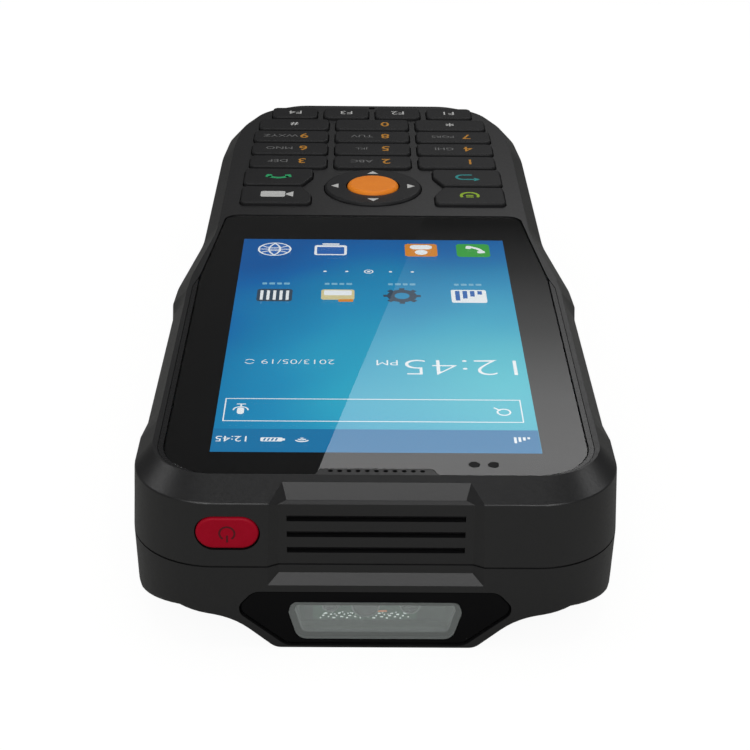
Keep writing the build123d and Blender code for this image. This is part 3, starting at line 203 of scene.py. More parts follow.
def add_corners(mesh, corners, z=0.0, index=0):
    """Adds a flat face with these corners, in millimetres."""
    old = set(mesh.faces)
    mesh.faces.new([mesh.verts.new((x, y, z)) for x, y in corners])
    tint(mesh, old, index)


def add_text(mesh, text, x, y, height, z=0.0, index=0, stretch=1.0, anchor="middle", thin=0.0):
    """Adds flat lettering of a given height in millimetres, centred or anchored at its start or end."""
    curve = bpy.data.curves.new("lettering", "FONT")
    curve.body = text
    curve.resolution_u = 4
    curve.offset = -thin
    holder = bpy.data.objects.new("lettering", curve)
    bpy.context.scene.collection.objects.link(holder)
    flat = bpy.data.meshes.new_from_object(holder.evaluated_get(bpy.context.evaluated_depsgraph_get()))
    low = Vector([min(vert.co[axis] for vert in flat.vertices) for axis in (0, 1)])
    high = Vector([max(vert.co[axis] for vert in flat.vertices) for axis in (0, 1)])
    scale = height / (high.y - low.y)
    width = (high.x - low.x) * scale * stretch
    left = {"middle": x - width / 2, "start": x, "end": x - width}[anchor]
    where = Matrix.Translation((left, y - height / 2, z)) @ Matrix.Diagonal((scale * stretch, scale, 1, 1))
    flat.transform(where @ Matrix.Translation((-low.x, -low.y, 0)))
    old = set(mesh.faces)
    mesh.from_mesh(flat)
    tint(mesh, old, index)
    bpy.data.objects.remove(holder)
    bpy.data.curves.remove(curve)
    bpy.data.meshes.remove(flat)


MILLIMETRES = Matrix.Diagonal((0.001, 0.001, 0.001, 1))


def facing(x, y, z, turn=180.0):
    """The place of a flat print that lies face up, turned to read from the tail end."""
    return MILLIMETRES @ Matrix.Translation((x, y, z)) @ Matrix.Rotation(math.radians(turn), 4, "Z")


def dimmed(code, share):
    """A linear colour from an sRGB hex code, at a share of its strength."""
    return [part * share for part in linear(code)[:3]] + [1.0]


INK_PATCHES = 900.0  # per metre, so 1.1 mm each


def printed(name, code, roughness=0.5):
    """A pad-printed ink: one pigment, a little uneven where the pad left it thinner."""
    material, tree, shader = new_material(name, Roughness=roughness, IOR=1.48, Specular_IOR_Level=0.4)
    place = add(tree, "TexCoord").outputs["Object"]
    thin = add(tree, "TexNoise", {"Vector": place, "Scale": INK_PATCHES, "Detail": 2.0})
    tones = {"Factor": thin.outputs["Fac"], "A": dimmed(code, 0.86), "B": linear(code)}
    ink = add(tree, "Mix", tones, data_type="RGBA")
    tree.links.new(ink.outputs["Result"], shader.inputs["Base Color"])
    return material


dark_red_ink = printed("power_sign_ink", "#5c0714")
SIGN_RADIUS = 1.15
SIGN_STROKE = 0.32
SIGN_LIFT = 0.006
button_low, button_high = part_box("power_button")
button_middle = (button_low + button_high) * 500
sign = bmesh.new()
add_arc(sign, 0, 0, SIGN_RADIUS, SIGN_STROKE, -55, 290)
add_plate(sign, 0, -0.95, SIGN_STROKE, 1.25)
sign_point = (button_middle.x, button_low.y * 1000 - SIGN_LIFT, button_middle.z)
sign_turn = Matrix.Rotation(math.pi, 4, "Y") @ Matrix.Rotation(math.radians(-90), 4, "X")
sign_place = MILLIMETRES @ Matrix.Translation(sign_point) @ sign_turn
finish_piece(sign, "power_sign", [dark_red_ink], "power_button", sign_place)


# Display: a lit panel bonded under the glass. Its picture is a soft blue field with plain signs, drawn in
# millimetres from the panel's centre, with x to the reader's right and y up. Each element lies a few
# thousandths of a millimetre over the one behind it.
panel_low, panel_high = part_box("display_module")
PANEL_WIDTH = 51.84
PANEL_HEIGHT = 86.4
PANEL_BORDER = 3.2  # unlit, at the head end
PANEL_GLOW = 1.3  # makes up for what the cover glass takes
CELL = 0.25  # the panel's dots are 0.11 mm wide, drawn this coarse so that they show
PICTURE_LIFT = 0.006
panel_x = 0.0
panel_y = panel_low.y * 1000 + PANEL_BORDER + PANEL_HEIGHT / 2
picture_place = facing(panel_x, panel_y, panel_high.z * 1000 + PICTURE_LIFT)


def glowing(name):
    """A material of the panel: nothing but its own light, under the panel's smooth face."""
    material, tree, shader = new_material(
        name, Roughness=0.3, IOR=1.5, Emission_Strength=PANEL_GLOW, Specular_IOR_Level=0.0
    )
    shader.inputs["Base Color"].default_value = (0.0, 0.0, 0.0, 1.0)
    return material, tree, shader


def lit(name, code):
    """A lit picture element of the panel."""
    material, tree, shader = glowing(name)
    place = add(tree, "TexCoord").outputs["Object"]
    cells = add(tree, "TexNoise", {"Vector": place, "Scale": 1000 / CELL, "Detail": 0.0})
    tones = {"Factor": cells.outputs["Fac"], "A": dimmed(code, 0.97), "B": linear(code)}
    light = add(tree, "Mix", tones, data_type="RGBA")
    tree.links.new(light.outputs["Result"], shader.inputs["Emission Color"])
    return material


# The field is palest beside the clock and darkens outwards, with slow drifting bands.
field, tree, shader = glowing("panel_field")
place = add(tree, "TexCoord").outputs["Object"]
BANDS = 45.0  # per metre, so 22 mm each
slow = add(tree, "TexNoise", {"Vector": place, "Scale": BANDS, "Detail": 1.0, "Roughness": 0.4})
to_centre = {"Vector": place, "Location": (-0.314, 0.814, 0.0), "Scale": (14.3, 14.3, 0.0)}
centred = add(tree, "Mapping", to_centre)
far = add(tree, "VectorMath", {0: centred.outputs["Vector"]}, operation="LENGTH")
span = {"From Min": 0.25, "From Max": 0.75, "To Min": -0.07, "To Max": 0.07}
drift = add(tree, "MapRange", {"Value": slow.outputs["Fac"], **span})
level = add(tree, "Math", {0: far.outputs["Value"], 1: drift.outputs["Result"]}, operation="ADD")
BLUES = {0.0: "#46c1d2", 0.16: "#40bacf", 0.38: "#2ba9cb", 0.56: "#1b90c0"}
BLUES.update({0.68: "#0f82b6", 0.86: "#0066ad", 1.0: "#0058a0"})
rings = [(position, linear(code)) for position, code in BLUES.items()]
blues = add(tree, "ValToRGB", {"Fac": level.outputs["Value"]}, rings)
tree.links.new(blues.outputs["Color"], shader.inputs["Emission Color"])
black_edge, _, _ = new_material("panel_edge_black")
moulded(black_edge, "#0b0b0c", "#101011", patch_mm=6, grain_mm=0.3, relief=0.1, rough=(0.4, 0.5))
dress(black_edge, "display_module")

picture = bmesh.new()
add_plate(picture, 0, 0, PANEL_WIDTH, PANEL_HEIGHT)
bmesh.ops.subdivide_edges(picture, edges=picture.edges, cuts=12, use_grid_fill=True)
finish_piece(picture, "picture_field", [field], "terminal", picture_place)

white = lit("picture_white", "#f2f8fb")
bar_blue = lit("picture_bar", "#1476ab")
BAR_Y = 39.4
BAR_HEIGHT = 7.5
CELL_SIGN_Y = 39.1
WAVES = (11.7, 38.3)
status = bmesh.new()
add_plate(status, 0, BAR_Y, PANEL_WIDTH - 0.1, BAR_HEIGHT, z=0.004, index=1)
add_text(status, "12:45", 22.9, 38.95, 1.75, z=0.012)
add_plate(status, 16.5, CELL_SIGN_Y, 3.5, 1.25, 0.25, z=0.010)
add_plate(status, 14.55, CELL_SIGN_Y, 0.35, 0.6, z=0.010)
for number in range(4):
    add_plate(status, 17.6 - number * 0.62, CELL_SIGN_Y, 0.3, 0.85, z=0.012, index=1, turn=-0.35)
for number in range(3):
    add_arc(status, *WAVES, 0.35 + number * 0.55, 0.3, 45, 90, z=0.012)
for number in range(4):
    add_plate(status, -24.2 + number * 0.72, 38.25 + number * 0.22, 0.42, 0.6 + number * 0.44, z=0.012)
finish_piece(status, "picture_status_bar", [white, bar_blue], "terminal", picture_place)

SEARCH_X = 0.4
SEARCH_Y = 29.2
MICROPHONE_X = 22.0
search = bmesh.new()
for side in (-1, 1):
    add_plate(search, SEARCH_X, SEARCH_Y + side * 3.82, 48.6, 0.24, z=0.010)
    add_plate(search, SEARCH_X + side * 24.22, SEARCH_Y, 0.2, 7.6, z=0.010)
add_plate(search, MICROPHONE_X, 29.6, 1.15, 2.3, 0.56, z=0.012)
add_arc(search, MICROPHONE_X, 29.4, 1.2, 0.26, 180, 180, z=0.012)
add_plate(search, MICROPHONE_X, 27.75, 0.26, 0.8, z=0.012)
add_plate(search, MICROPHONE_X, 27.3, 1.5, 0.26, z=0.012)
add_arc(search, -20.9, 29.6, 1.05, 0.3, 0, 360, z=0.012)
add_plate(search, -19.85, 28.55, 0.32, 1.4, z=0.012, turn=math.radians(45))
finish_piece(search, "picture_search_box", [white], "terminal", picture_place)

DATE_Y = 11.7
ALARM_X = 21.6
clock = bmesh.new()
add_text(clock, "12:45", -24.3, 13.45, 5.7, z=0.008, stretch=1.18, anchor="start", thin=0.02)
add_text(clock, "PM", -3.9, 11.85, 1.95, z=0.008, stretch=1.1, anchor="start", thin=0.008)
add_text(clock, "2013/05/19", 7.0, DATE_Y, 1.7, z=0.008, stretch=1.12, anchor="start", thin=0.012)
for start in (20, 200):
    add_arc(clock, ALARM_X, DATE_Y, 0.8, 0.2, start, 130, z=0.008)
finish_piece(clock, "picture_clock", [white], "terminal", picture_place)

WHITE, BLUE, GREEN, ORANGE, SLATE, SAND, PALE_BLUE = range(7)
paints = [white, lit("picture_blue", "#2465b4"), lit("picture_green", "#37a53f")]
paints += [lit("picture_orange", "#dd8a2a"), lit("picture_slate", "#34495c")]
paints += [lit("picture_sand", "#d9cf9a"), lit("picture_pale_blue", "#7db9d6")]
icons = bmesh.new()


def draw_tiles(x, y):
    """A dark sign with five pale bars."""
    add_plate(icons, x, y, 6.6, 5.6, 0.7, z=0.004, index=SLATE)
    for column in range(5):
        add_plate(icons, x - 2.4 + column * 1.2, y, 0.55, 4.2, z=0.008)


def draw_folder(x, y):
    """A sand-coloured folder with a pale sheet."""
    add_plate(icons, x, y - 0.4, 6.2, 4.6, 0.6, z=0.004, index=SAND)
    add_plate(icons, x - 1.5, y + 2.2, 2.8, 1.2, 0.3, z=0.004, index=ORANGE)
    add_plate(icons, x, y - 1.2, 5.2, 2.2, 0.3, z=0.008)


def draw_tools(x, y):
    """A toothed wheel."""
    add_arc(icons, x, y, 2.1, 1.4, 0, 360, z=0.006, index=SLATE)
    for tooth in range(8):
        turn = math.radians(tooth * 45)
        place = (x + 3.0 * math.cos(turn), y + 3.0 * math.sin(turn))
        add_plate(icons, *place, 1.0, 1.0, z=0.004, index=SLATE, turn=turn)


def draw_chart(x, y):
    """A pale sheet with four rising bars."""
    add_plate(icons, x, y, 6.6, 5.8, 0.5, z=0.004)
    for bar in range(4):
        place = (x - 2.1 + bar * 1.4, y - 1.6 + bar * 0.45)
        add_plate(icons, *place, 0.85, 1.6 + bar * 0.9, z=0.008, index=BLUE)


def draw_globe(x, y):
    """A blue globe with its lines."""
    add_disc(icons, x, y, 3.3, z=0.004, index=BLUE)
    add_arc(icons, x, y, 3.15, 0.35, 0, 360, z=0.008)
    for side in (-1, 1):
        add_arc(icons, x + side * 3.3, y, 4.4, 0.35, 90 + side * 90 - 42, 84, z=0.008)
        add_arc(icons, x, y + side * 4.3, 3.6, 0.3, side * 270 - 48, 96, z=0.008)
    add_plate(icons, x, y, 6.0, 0.3, z=0.008)


def draw_screen(x, y):
    """A small screen on a foot."""
    add_plate(icons, x, y + 0.3, 6.4, 5.0, 0.6, z=0.004)
    add_plate(icons, x, y + 0.5, 5.4, 3.6, 0.3, z=0.008, index=BLUE)
    add_plate(icons, x, y - 2.8, 3.4, 0.7, 0.2, z=0.004)


def draw_contacts(x, y):
    """A head and shoulders on an orange ground."""
    add_plate(icons, x, y, 6.4, 6.4, 0.8, z=0.004, index=ORANGE)
    add_disc(icons, x, y + 1.1, 1.25, z=0.008)
    add_plate(icons, x, y - 1.5, 4.4, 2.2, 1.0, z=0.008)


def draw_handset(x, y):
    """A handset on a green ground."""
    add_plate(icons, x, y, 6.6, 6.6, 0.9, z=0.004, index=GREEN)
    centre_x, centre_y = x + 1.3, y + 1.3
    add_arc(icons, centre_x, centre_y, 3.1, 0.8, 190, 70, z=0.008)
    for angle in (190, 260):
        turn = math.radians(angle)
        place = (centre_x + 2.9 * math.cos(turn), centre_y + 2.9 * math.sin(turn))
        add_plate(icons, *place, 1.5, 1.1, 0.3, 0.010, WHITE, turn)


UPPER_ROW_Y = -16.0
LOWER_ROW_Y = -38.0
CAPTION_Y = -21.3
DOTS_Y = -27.2
OPEN_DOT_X = 1.0
UPPER_ROW = ((18.6, draw_tiles), (6.8, draw_folder), (-5.2, draw_tools), (-17.7, draw_chart))
LOWER_ROW = ((19.6, draw_globe), (8.5, draw_screen), (-9.4, draw_contacts), (-19.7, draw_handset))
for x, draw in UPPER_ROW:
    draw(x, UPPER_ROW_Y)
    for word in range(4):
        width = 1.1 - 0.2 * (word % 2)
        add_plate(icons, x - 2.1 + word * 1.4, CAPTION_Y, width, 0.9, 0.15, z=0.006, index=PALE_BLUE)
for x, draw in LOWER_ROW:
    draw(x, LOWER_ROW_Y)
for x in (9.4, 5.2, -3.2, -7.4):
    add_disc(icons, x, DOTS_Y, 0.33, z=0.006, segments=16)
add_arc(icons, OPEN_DOT_X, DOTS_Y, 0.8, 0.25, 0, 360, z=0.006)
add_disc(icons, OPEN_DOT_X, DOTS_Y, 0.35, z=0.006, segments=16)
finish_piece(icons, "picture_icons", paints, "terminal", picture_place)


# Cover glass: 1.2 mm of hardened glass, printed black on its underside round the display's window.
# Polished on both faces, so it gives one sharp reflection, and two small sensor windows are matt.
hard_glass, tree, shader = new_material("hardened_cover_glass", IOR=1.5, Transmission_Weight=1.0)
place = add(tree, "TexCoord").outputs["Object"]
SMEARS = 60.0  # per metre, so 17 mm each
smear = add(tree, "TexNoise", {"Vector": place, "Scale": SMEARS, "Detail": 3.0, "Roughness": 0.6})
span = {"From Min": 0.35, "From Max": 0.75, "To Min": 0.0, "To Max": 0.012}
film = add(tree, "MapRange", {"Value": smear.outputs["Fac"], **span})
tree.links.new(film.outputs["Result"], shader.inputs["Roughness"])
dress(hard_glass, "cover_glass")

border_ink, _, _ = new_material("glass_underside_black_ink", Specular_IOR_Level=0.2)
moulded(border_ink, "#131313", "#161616", patch_mm=15, grain_mm=0.25, relief=0.05, rough=(0.55, 0.65))
border = bmesh.new()
border.from_mesh(nodes["cover_glass"].data)
bmesh.ops.remove_doubles(border, verts=border.verts, dist=0.00001)
glass_low, glass_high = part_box("cover_glass")
upper = [face for face in border.faces if face.calc_center_median().z > glass_low.z + 0.00002]
bmesh.ops.delete(border, geom=upper, context="FACES")
for axis, offset in ((0, panel_x), (1, panel_y)):
    half = (PANEL_WIDTH, PANEL_HEIGHT)[axis] / 2
    for side in (-1, 1):
        point = Vector((0, 0, 0))
        normal = Vector((0, 0, 0))
        point[axis] = (offset + side * half) / 1000
        normal[axis] = 1
        parts = border.verts[:] + border.edges[:] + border.faces[:]
        bmesh.ops.bisect_plane(border, geom=parts, dist=0.0000001, plane_co=point, plane_no=normal)
inside = [
    face
    for face in border.faces
    if abs(face.calc_center_median().x * 1000 - panel_x) < PANEL_WIDTH / 2
    and abs(face.calc_center_median().y * 1000 - panel_y) < PANEL_HEIGHT / 2
]
bmesh.ops.delete(border, geom=inside, context="FACES")
bmesh.ops.reverse_faces(border, faces=border.faces[:])
print_place = Matrix.Translation((0, 0, 0.000005))  # just inside the glass
finish_piece(border, "glass_print", [border_ink], "terminal", print_place)

SENSOR_PLACES = ((15.0, -84.15), (18.0, -84.15))
SENSOR_RADIUS = 0.9
SENSOR_LIFT = 0.01
sensor_black = printed("sensor_window_matt_black", "#1b1b1c", 0.75)
sensors = bmesh.new()
for x, y in SENSOR_PLACES:
    add_disc(sensors, x, y, SENSOR_RADIUS)
sensors_place = facing(0, 0, glass_high.z * 1000 + SENSOR_LIFT, turn=0)
finish_piece(sensors, "sensor_windows", [sensor_black], "terminal", sensors_place)


# Trim round the glass, and the carrier under the display. The trim is a moulded PC frame, clipped into the
# front housing, with a smooth satin face that shows a thin line of light.
trim_pc, _, _ = new_material("trim_pc_satin", IOR=1.55)
moulded(trim_pc, "#161617", "#19191a", patch_mm=12, grain_mm=0.3, relief=0.06, rough=(0.22, 0.3))
dress(trim_pc, "display_trim", "display_carrier")


# Key legends: pad-printed inks on the flat tops of the caps, under a clear lacquer. Digits are amber, and
# the small letters beside them grey, all turned to be read from the tail end.
amber_ink = printed("legend_amber_ink", "#c08219")
grey_ink = printed("legend_grey_ink", "#707070")
white_ink = printed("legend_white_ink", "#c4c4c2")
green_ink = printed("legend_green_ink", "#1fa566")
teal_ink = printed("legend_teal_ink", "#1f8f8f")
lime_ink = printed("legend_lime_ink", "#94b81c")
DIGIT_X = -3.0
DIGIT_HEIGHT = 3.0
LETTERS_X = 2.4
LETTERS_HEIGHT = 1.6
SIGN_HEIGHT = 2.2
LEGEND_LIFT = 0.012
DIGIT_LETTERS = {"1": "", "2": "ABC", "3": "DEF", "4": "GHI", "5": "JKL"}
DIGIT_LETTERS.update({"6": "MNO", "7": "PQRS", "8": "TUV", "9": "WXYZ", "0": ""})


def key_place(name):
    """The place of a legend in the middle of a key's top."""
    low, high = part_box(name)
    return facing((low.x + high.x) * 500, (low.y + high.y) * 500, high.z * 1000 + LEGEND_LIFT)


for digit, letters in DIGIT_LETTERS.items():
    name = "key_" + digit
    legend = bmesh.new()
    add_text(legend, digit, DIGIT_X, 0, DIGIT_HEIGHT, thin=-0.01)
    if letters:
        add_text(legend, letters, LETTERS_X, 0, LETTERS_HEIGHT, index=1, stretch=1.15)
    finish_piece(legend, name + "_legend", [amber_ink, grey_ink], name, key_place(name))
for name, sign in (("key_star", "*"), ("key_hash", "#")):
    legend = bmesh.new()
    add_text(legend, sign, 0, 0, SIGN_HEIGHT, thin=-0.01)
    finish_piece(legend, name + "_legend", [white_ink], name, key_place(name))
for number in range(1, 5):
    name = f"key_f{number}"
    legend = bmesh.new()
    add_text(legend, f"F{number}", 0, 0, SIGN_HEIGHT, stretch=1.1)
    finish_piece(legend, name + "_legend", [white_ink], name, key_place(name))

legend = bmesh.new()
add_arc(legend, 0, -1.6, 2.7, 0.9, 40, 100)
for side in (-1, 1):
    add_plate(legend, side * 2.1, -0.1, 1.3, 1.7, 0.3, turn=math.radians(-side * 12))
finish_piece(legend, "key_call_legend", [green_ink], "key_call", key_place("key_call"))

legend = bmesh.new()
add_plate(legend, 0.7, 0, 5.2, 3.3, 0.6)
add_corners(legend, [(-3.6, 1.5), (-3.6, -1.5), (-2.1, -0.4), (-2.1, 0.4)])
finish_piece(legend, "key_camera_legend", [white_ink], "key_camera", key_place("key_camera"))

legend = bmesh.new()
add_arc(legend, 0.9, 0, 1.35, 0.6, -90, 180)
add_plate(legend, -0.3, 1.35, 2.5, 0.6)
add_plate(legend, -0.1, -1.35, 2.1, 0.6)
add_corners(legend, [(-1.5, 2.4), (-1.5, 0.3), (-2.8, 1.35)])
finish_piece(legend, "key_back_legend", [teal_ink], "key_back", key_place("key_back"))

legend = bmesh.new()
add_arc(legend, 0, 0.2, 1.8, 0.6, 150, 240)
add_plate(legend, 0, 1.0, 1.6, 0.5)
add_plate(legend, 0, 0.1, 1.6, 0.5)
finish_piece(legend, "key_menu_legend", [lime_ink], "key_menu", key_place("key_menu"))

arrows = bmesh.new()
ARROW = ((7.4, -1.25), (9.0, 0.0), (7.4, 1.25))
for quarter in range(4):
    turn = Matrix.Rotation(math.radians(quarter * 90), 2)
    add_corners(arrows, [turn @ Vector(corner) for corner in ARROW])
finish_piece(arrows, "nav_arrows", [white_ink], "nav_ring", key_place("nav_ring"))


# Scan window in its frame. The frame is piano-black acrylic, moulded in a polished tool. The window is a
# hard-coated acrylic plate, faintly tinted, and its haze veils the scan engine behind it.
piano_black, _, _ = new_material("frame_acrylic_piano_black", IOR=1.49, Specular_IOR_Level=0.12)
moulded(piano_black, "#0c0c0d", "#0f0f10", patch_mm=14, grain_mm=1.2, relief=0.02, rough=(0.05, 0.09))
dress(piano_black, "scan_window_frame")
window_acrylic, tree, shader = new_material(
    "window_acrylic_hard_coated", Roughness=0.05, IOR=1.49, Transmission_Weight=0.8
)
place = add(tree, "TexCoord").outputs["Object"]
HAZE_PATCHES = 90.0  # per metre, so 11 mm each
haze = add(tree, "TexNoise", {"Vector": place, "Scale": HAZE_PATCHES, "Detail": 2.0})
tones = ((0.0, linear("#e0e8e5")), (1.0, linear("#eaf1ee")))
tone = add(tree, "ValToRGB", {"Fac": haze.outputs["Fac"]}, tones)
tree.links.new(tone.outputs["Color"], shader.inputs["Base Color"])
dress(window_acrylic, "scan_window")


# Scan engine and its lenses, seen dimly through the window. The engine is a black glass-filled nylon block
# with a green board on its face, dotted with bright solder, and the lenses are coated glass in steel rings.
# The board, its solder and its copper also glow a little, as painted light.
nylon, _, _ = new_material("engine_nylon_glass_filled", IOR=1.53)
moulded(nylon, "#1b1c1e", "#242629", patch_mm=4, grain_mm=0.2, relief=0.3, rough=(0.45, 0.6))
dress(nylon, "scan_engine")
coated_lens, tree, shader = new_material(
    "engine_lens_coated_glass", Roughness=0.03, IOR=1.6, Coat_Weight=1.0, Coat_Roughness=0.02
)
place = add(tree, "TexCoord").outputs["Object"]
BLOOM_PATCHES = 300.0  # per metre, so 3 mm each
bloom = add(tree, "TexNoise", {"Vector": place, "Scale": BLOOM_PATCHES, "Detail": 1.0})
tones = ((0.0, linear("#2b1030")), (1.0, linear("#4a1a2c")))
tone = add(tree, "ValToRGB", {"Fac": bloom.outputs["Fac"]}, tones)
tree.links.new(tone.outputs["Color"], shader.inputs["Base Color"])
dress(coated_lens, "scan_engine_optics")
engine_low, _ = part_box("scan_engine")
engine_board, _, _ = new_material("engine_board_solder_mask_painted_glow", IOR=1.5)
moulded(engine_board, "#27513f", "#2f6049", patch_mm=2, grain_mm=0.3, relief=0.15, rough=(0.4, 0.5))
solder = printed("engine_solder_and_chips_painted_glow", "#c6cbc8", 0.35)
copper = printed("engine_bare_copper_painted_glow", "#b0603c", 0.4)
# Painted light: the board, the solder and the copper glow a little of their own, so that they show through
# the window as if lit.
for material, code, glow in (
    (engine_board, "#8fa29a", 0.06),
    (solder, "#dfe8e4", 1.3),
    (copper, "#d08a62", 1.0),
):
    shader_of(material).inputs["Emission Color"].default_value = linear(code)
    shader_of(material).inputs["Emission Strength"].default_value = glow
lens_steel = printed("engine_lens_ring_steel", "#8d9290", 0.3)
BOARD_LIFT = 0.03
SOLDER_LIFT = 0.02
FIRST_BIT_X = -8.6
BIT_PITCH = 0.42
ENGINE_BOARD = (-1.6, 4.6, 16.4, 3.9)  # middle, width and height
LENS_HEIGHT = 5.95
LENSES = ((-1.5, 2.4), (5.5, 1.8), (-7.0, 1.5))  # x and radius
RING_LIFT = 0.75
details = bmesh.new()
add_plate(details, *ENGINE_BOARD, corner=0.2)
for number in range(34):
    x = FIRST_BIT_X + number * BIT_PITCH
    pad_y = 3.0 + (number * 7 % 5) * 0.22
    chip_y = 4.1 - (number * 3 % 4) * 0.12
    add_plate(details, x, pad_y, 0.22 + (number % 3) * 0.12, 0.2, z=SOLDER_LIFT, index=1)
    if number % 3:
        add_plate(details, x + 0.15, chip_y, 0.2, 0.16, z=SOLDER_LIFT, index=1)
add_plate(details, 0.4, 4.3, 3.0, 0.3, z=SOLDER_LIFT, index=2)
for x, radius in LENSES:
    add_arc(details, x, LENS_HEIGHT, radius - 0.25, 0.3, 0, 360, z=RING_LIFT, index=3)
engine_face = MILLIMETRES @ Matrix.Translation((0, engine_low.y * 1000 - BOARD_LIFT, 0))
engine_face = engine_face @ Matrix.Rotation(math.radians(90), 4, "X")
engine_materials = [engine_board, solder, copper, lens_steel]
finish_piece(details, "engine_details", engine_materials, "terminal", engine_face)


# Metal parts. The shields, the snap domes, the socket's shell and the rocker's ring are stainless steel,
# bright from rolling. The screws and the engine's bracket are black zinc, and the battery contacts are gold
# plate. Fine scratches run along each.
def bright_metal(name, code, scratch_mm, rough):
    """A rolled, machined or plated metal with fine scratches along Y."""
    material, tree, shader = new_material(name, Metallic=1.0)
    place = add(tree, "TexCoord").outputs["Object"]
    along = add(tree, "Mapping", {"Vector": place, "Scale": (1.0, 0.06, 1.0)})
    vector = along.outputs["Vector"]
    lines = add(tree, "TexNoise", {"Vector": vector, "Scale": 1000 / scratch_mm, "Detail": 3.0})
    tones = ((0.0, dimmed(code, 0.82)), (1.0, linear(code)))
    tone = add(tree, "ValToRGB", {"Fac": lines.outputs["Fac"]}, tones)
    tree.links.new(tone.outputs["Color"], shader.inputs["Base Color"])
    sheen = add(tree, "MapRange", {"Value": lines.outputs["Fac"], "To Min": rough[0], "To Max": rough[1]})
    tree.links.new(sheen.outputs["Result"], shader.inputs["Roughness"])
    return material


stainless = bright_metal("stainless_steel_rolled", "#b9b7b2", scratch_mm=0.3, rough=(0.22, 0.42))
black_steel = bright_metal("steel_black_zinc", "#3a3a3c", scratch_mm=0.3, rough=(0.35, 0.5))
gold = bright_metal("contact_gold_plate", "#d9a94e", scratch_mm=0.2, rough=(0.18, 0.3))
dress(stainless, "board_shields", "key_domes", "usb_socket", "nav_pivot")
dress(black_steel, "scan_engine_bracket", "housing_screws", "bracket_screws")
dress(gold, "battery_contacts")


# Circuit board: glass-epoxy with a dark green solder mask, faintly mottled by the copper under it. It is
# clamped between the housings' bosses, with the keypad's snap domes on its face.
solder_mask, _, _ = new_material("board_solder_mask_dark_green", IOR=1.5)
moulded(solder_mask, "#14231b", "#1c3226", patch_mm=3, grain_mm=0.5, relief=0.15, rough=(0.4, 0.55))
dress(solder_mask, "main_board")


# Soft parts: the keypad mat, the seam seal and the socket's flap. Moulded silicone, matt and very dark.
# The mat and the seal are held between the housings, and the flap plugs the socket.
silicone, _, _ = new_material("silicone_matt_black", IOR=1.41, Sheen_Weight=0.15, Sheen_Roughness=0.5)
moulded(silicone, "#1b1b1c", "#202021", patch_mm=8, grain_mm=0.25, relief=0.15, rough=(0.6, 0.75))
dress(silicone, "keypad_mat", "seam_seal", "port_cover")


# Sound, switches, cameras and battery: acoustic cloth over the speaker, the earpiece and the microphone,
# nylon switches and camera, clear polycarbonate light pipes, and a lithium pack in heat-shrink film.
acoustic_cloth, tree, shader = new_material("acoustic_cloth_black", Roughness=0.85, IOR=1.5)
place = add(tree, "TexCoord").outputs["Object"]
THREAD_PITCH = 0.35  # millimetres
threads = add(tree, "TexVoronoi", {"Vector": place, "Scale": 1000 / THREAD_PITCH}).outputs["Distance"]
tone = add(tree, "ValToRGB", {"Fac": threads}, ((0.0, linear("#050505")), (1.0, linear("#232324"))))
tree.links.new(tone.outputs["Color"], shader.inputs["Base Color"])
weave = add(tree, "Bump", {"Height": threads, "Strength": 0.6, "Distance": 0.0001})
tree.links.new(weave.outputs["Normal"], shader.inputs["Normal"])
dress(acoustic_cloth, "loudspeaker", "earpiece", "microphone")
dress(nylon, "power_switch", "scan_key_switches", "vibration_motor", "rear_camera")
shrink_film, _, _ = new_material("battery_film_grey", IOR=1.5)
moulded(shrink_film, "#3b3f45", "#454a51", patch_mm=10, grain_mm=0.8, relief=0.08, rough=(0.25, 0.35))
dress(shrink_film, "battery_pack")
light_pipe, _, _ = new_material("light_pipe_clear_pc", IOR=1.58, Transmission_Weight=0.9)
moulded(light_pipe, "#c9ccd0", "#d6d9dc", patch_mm=5, grain_mm=0.5, relief=0.03, rough=(0.08, 0.14))
dress(light_pipe, "sensor_light_pipes", "flash_lens")
dress(hard_glass, "camera_window")


# Studio: a paper floor, soft lamps overhead, in front and at the sides, and a tall card behind, which only
# gloss sees. The background is white to the camera, and dim to gloss.
FLOOR_SIZE = 0.6
FLOOR_DROP = 0.0002
PAPER_LIFT = 0.64  # the share of its own glow
PAPER_GLOW = 1.46
AIR_LIGHT = 0.45
AIR_IN_GLOSS = 0.08


def floor_paper(name, code):
    """Matt grey paper. Seen directly, or through glass, it is lifted to white and keeps a soft shadow. From
    below it is clear."""
    material = bpy.data.materials.new(name)
    material.use_nodes = True
    tree = material.node_tree
    tree.nodes.clear()
    seen = add(tree, "LightPath").outputs
    direct = {0: seen["Is Camera Ray"], 1: seen["Is Transmission Ray"]}
    shown = add(tree, "Math", direct, operation="MAXIMUM")
    share = add(tree, "Math", {0: shown.outputs["Value"], 1: PAPER_LIFT}, operation="MULTIPLY")
    paper = add(tree, "BsdfDiffuse", {"Color": linear(code)}).outputs["BSDF"]
    glow = add(tree, "Emission", {"Color": (1, 1, 1, 1), "Strength": PAPER_GLOW}).outputs["Emission"]
    lifted = add(tree, "MixShader", {0: share.outputs["Value"], 1: paper, 2: glow}).outputs["Shader"]
    from_below = add(tree, "NewGeometry").outputs["Backfacing"]
    clear = add(tree, "BsdfTransparent").outputs["BSDF"]
    mixed = add(tree, "MixShader", {0: from_below, 1: lifted, 2: clear})
    add(tree, "OutputMaterial", {"Surface": mixed.outputs["Shader"]})
    return material


bpy.ops.mesh.primitive_plane_add(size=FLOOR_SIZE, location=(0, 0, -FLOOR_DROP))
floor = bpy.context.object
floor.name = "floor"
floor.data.materials.append(floor_paper("floor_paper_grey", "#8c8c8a"))

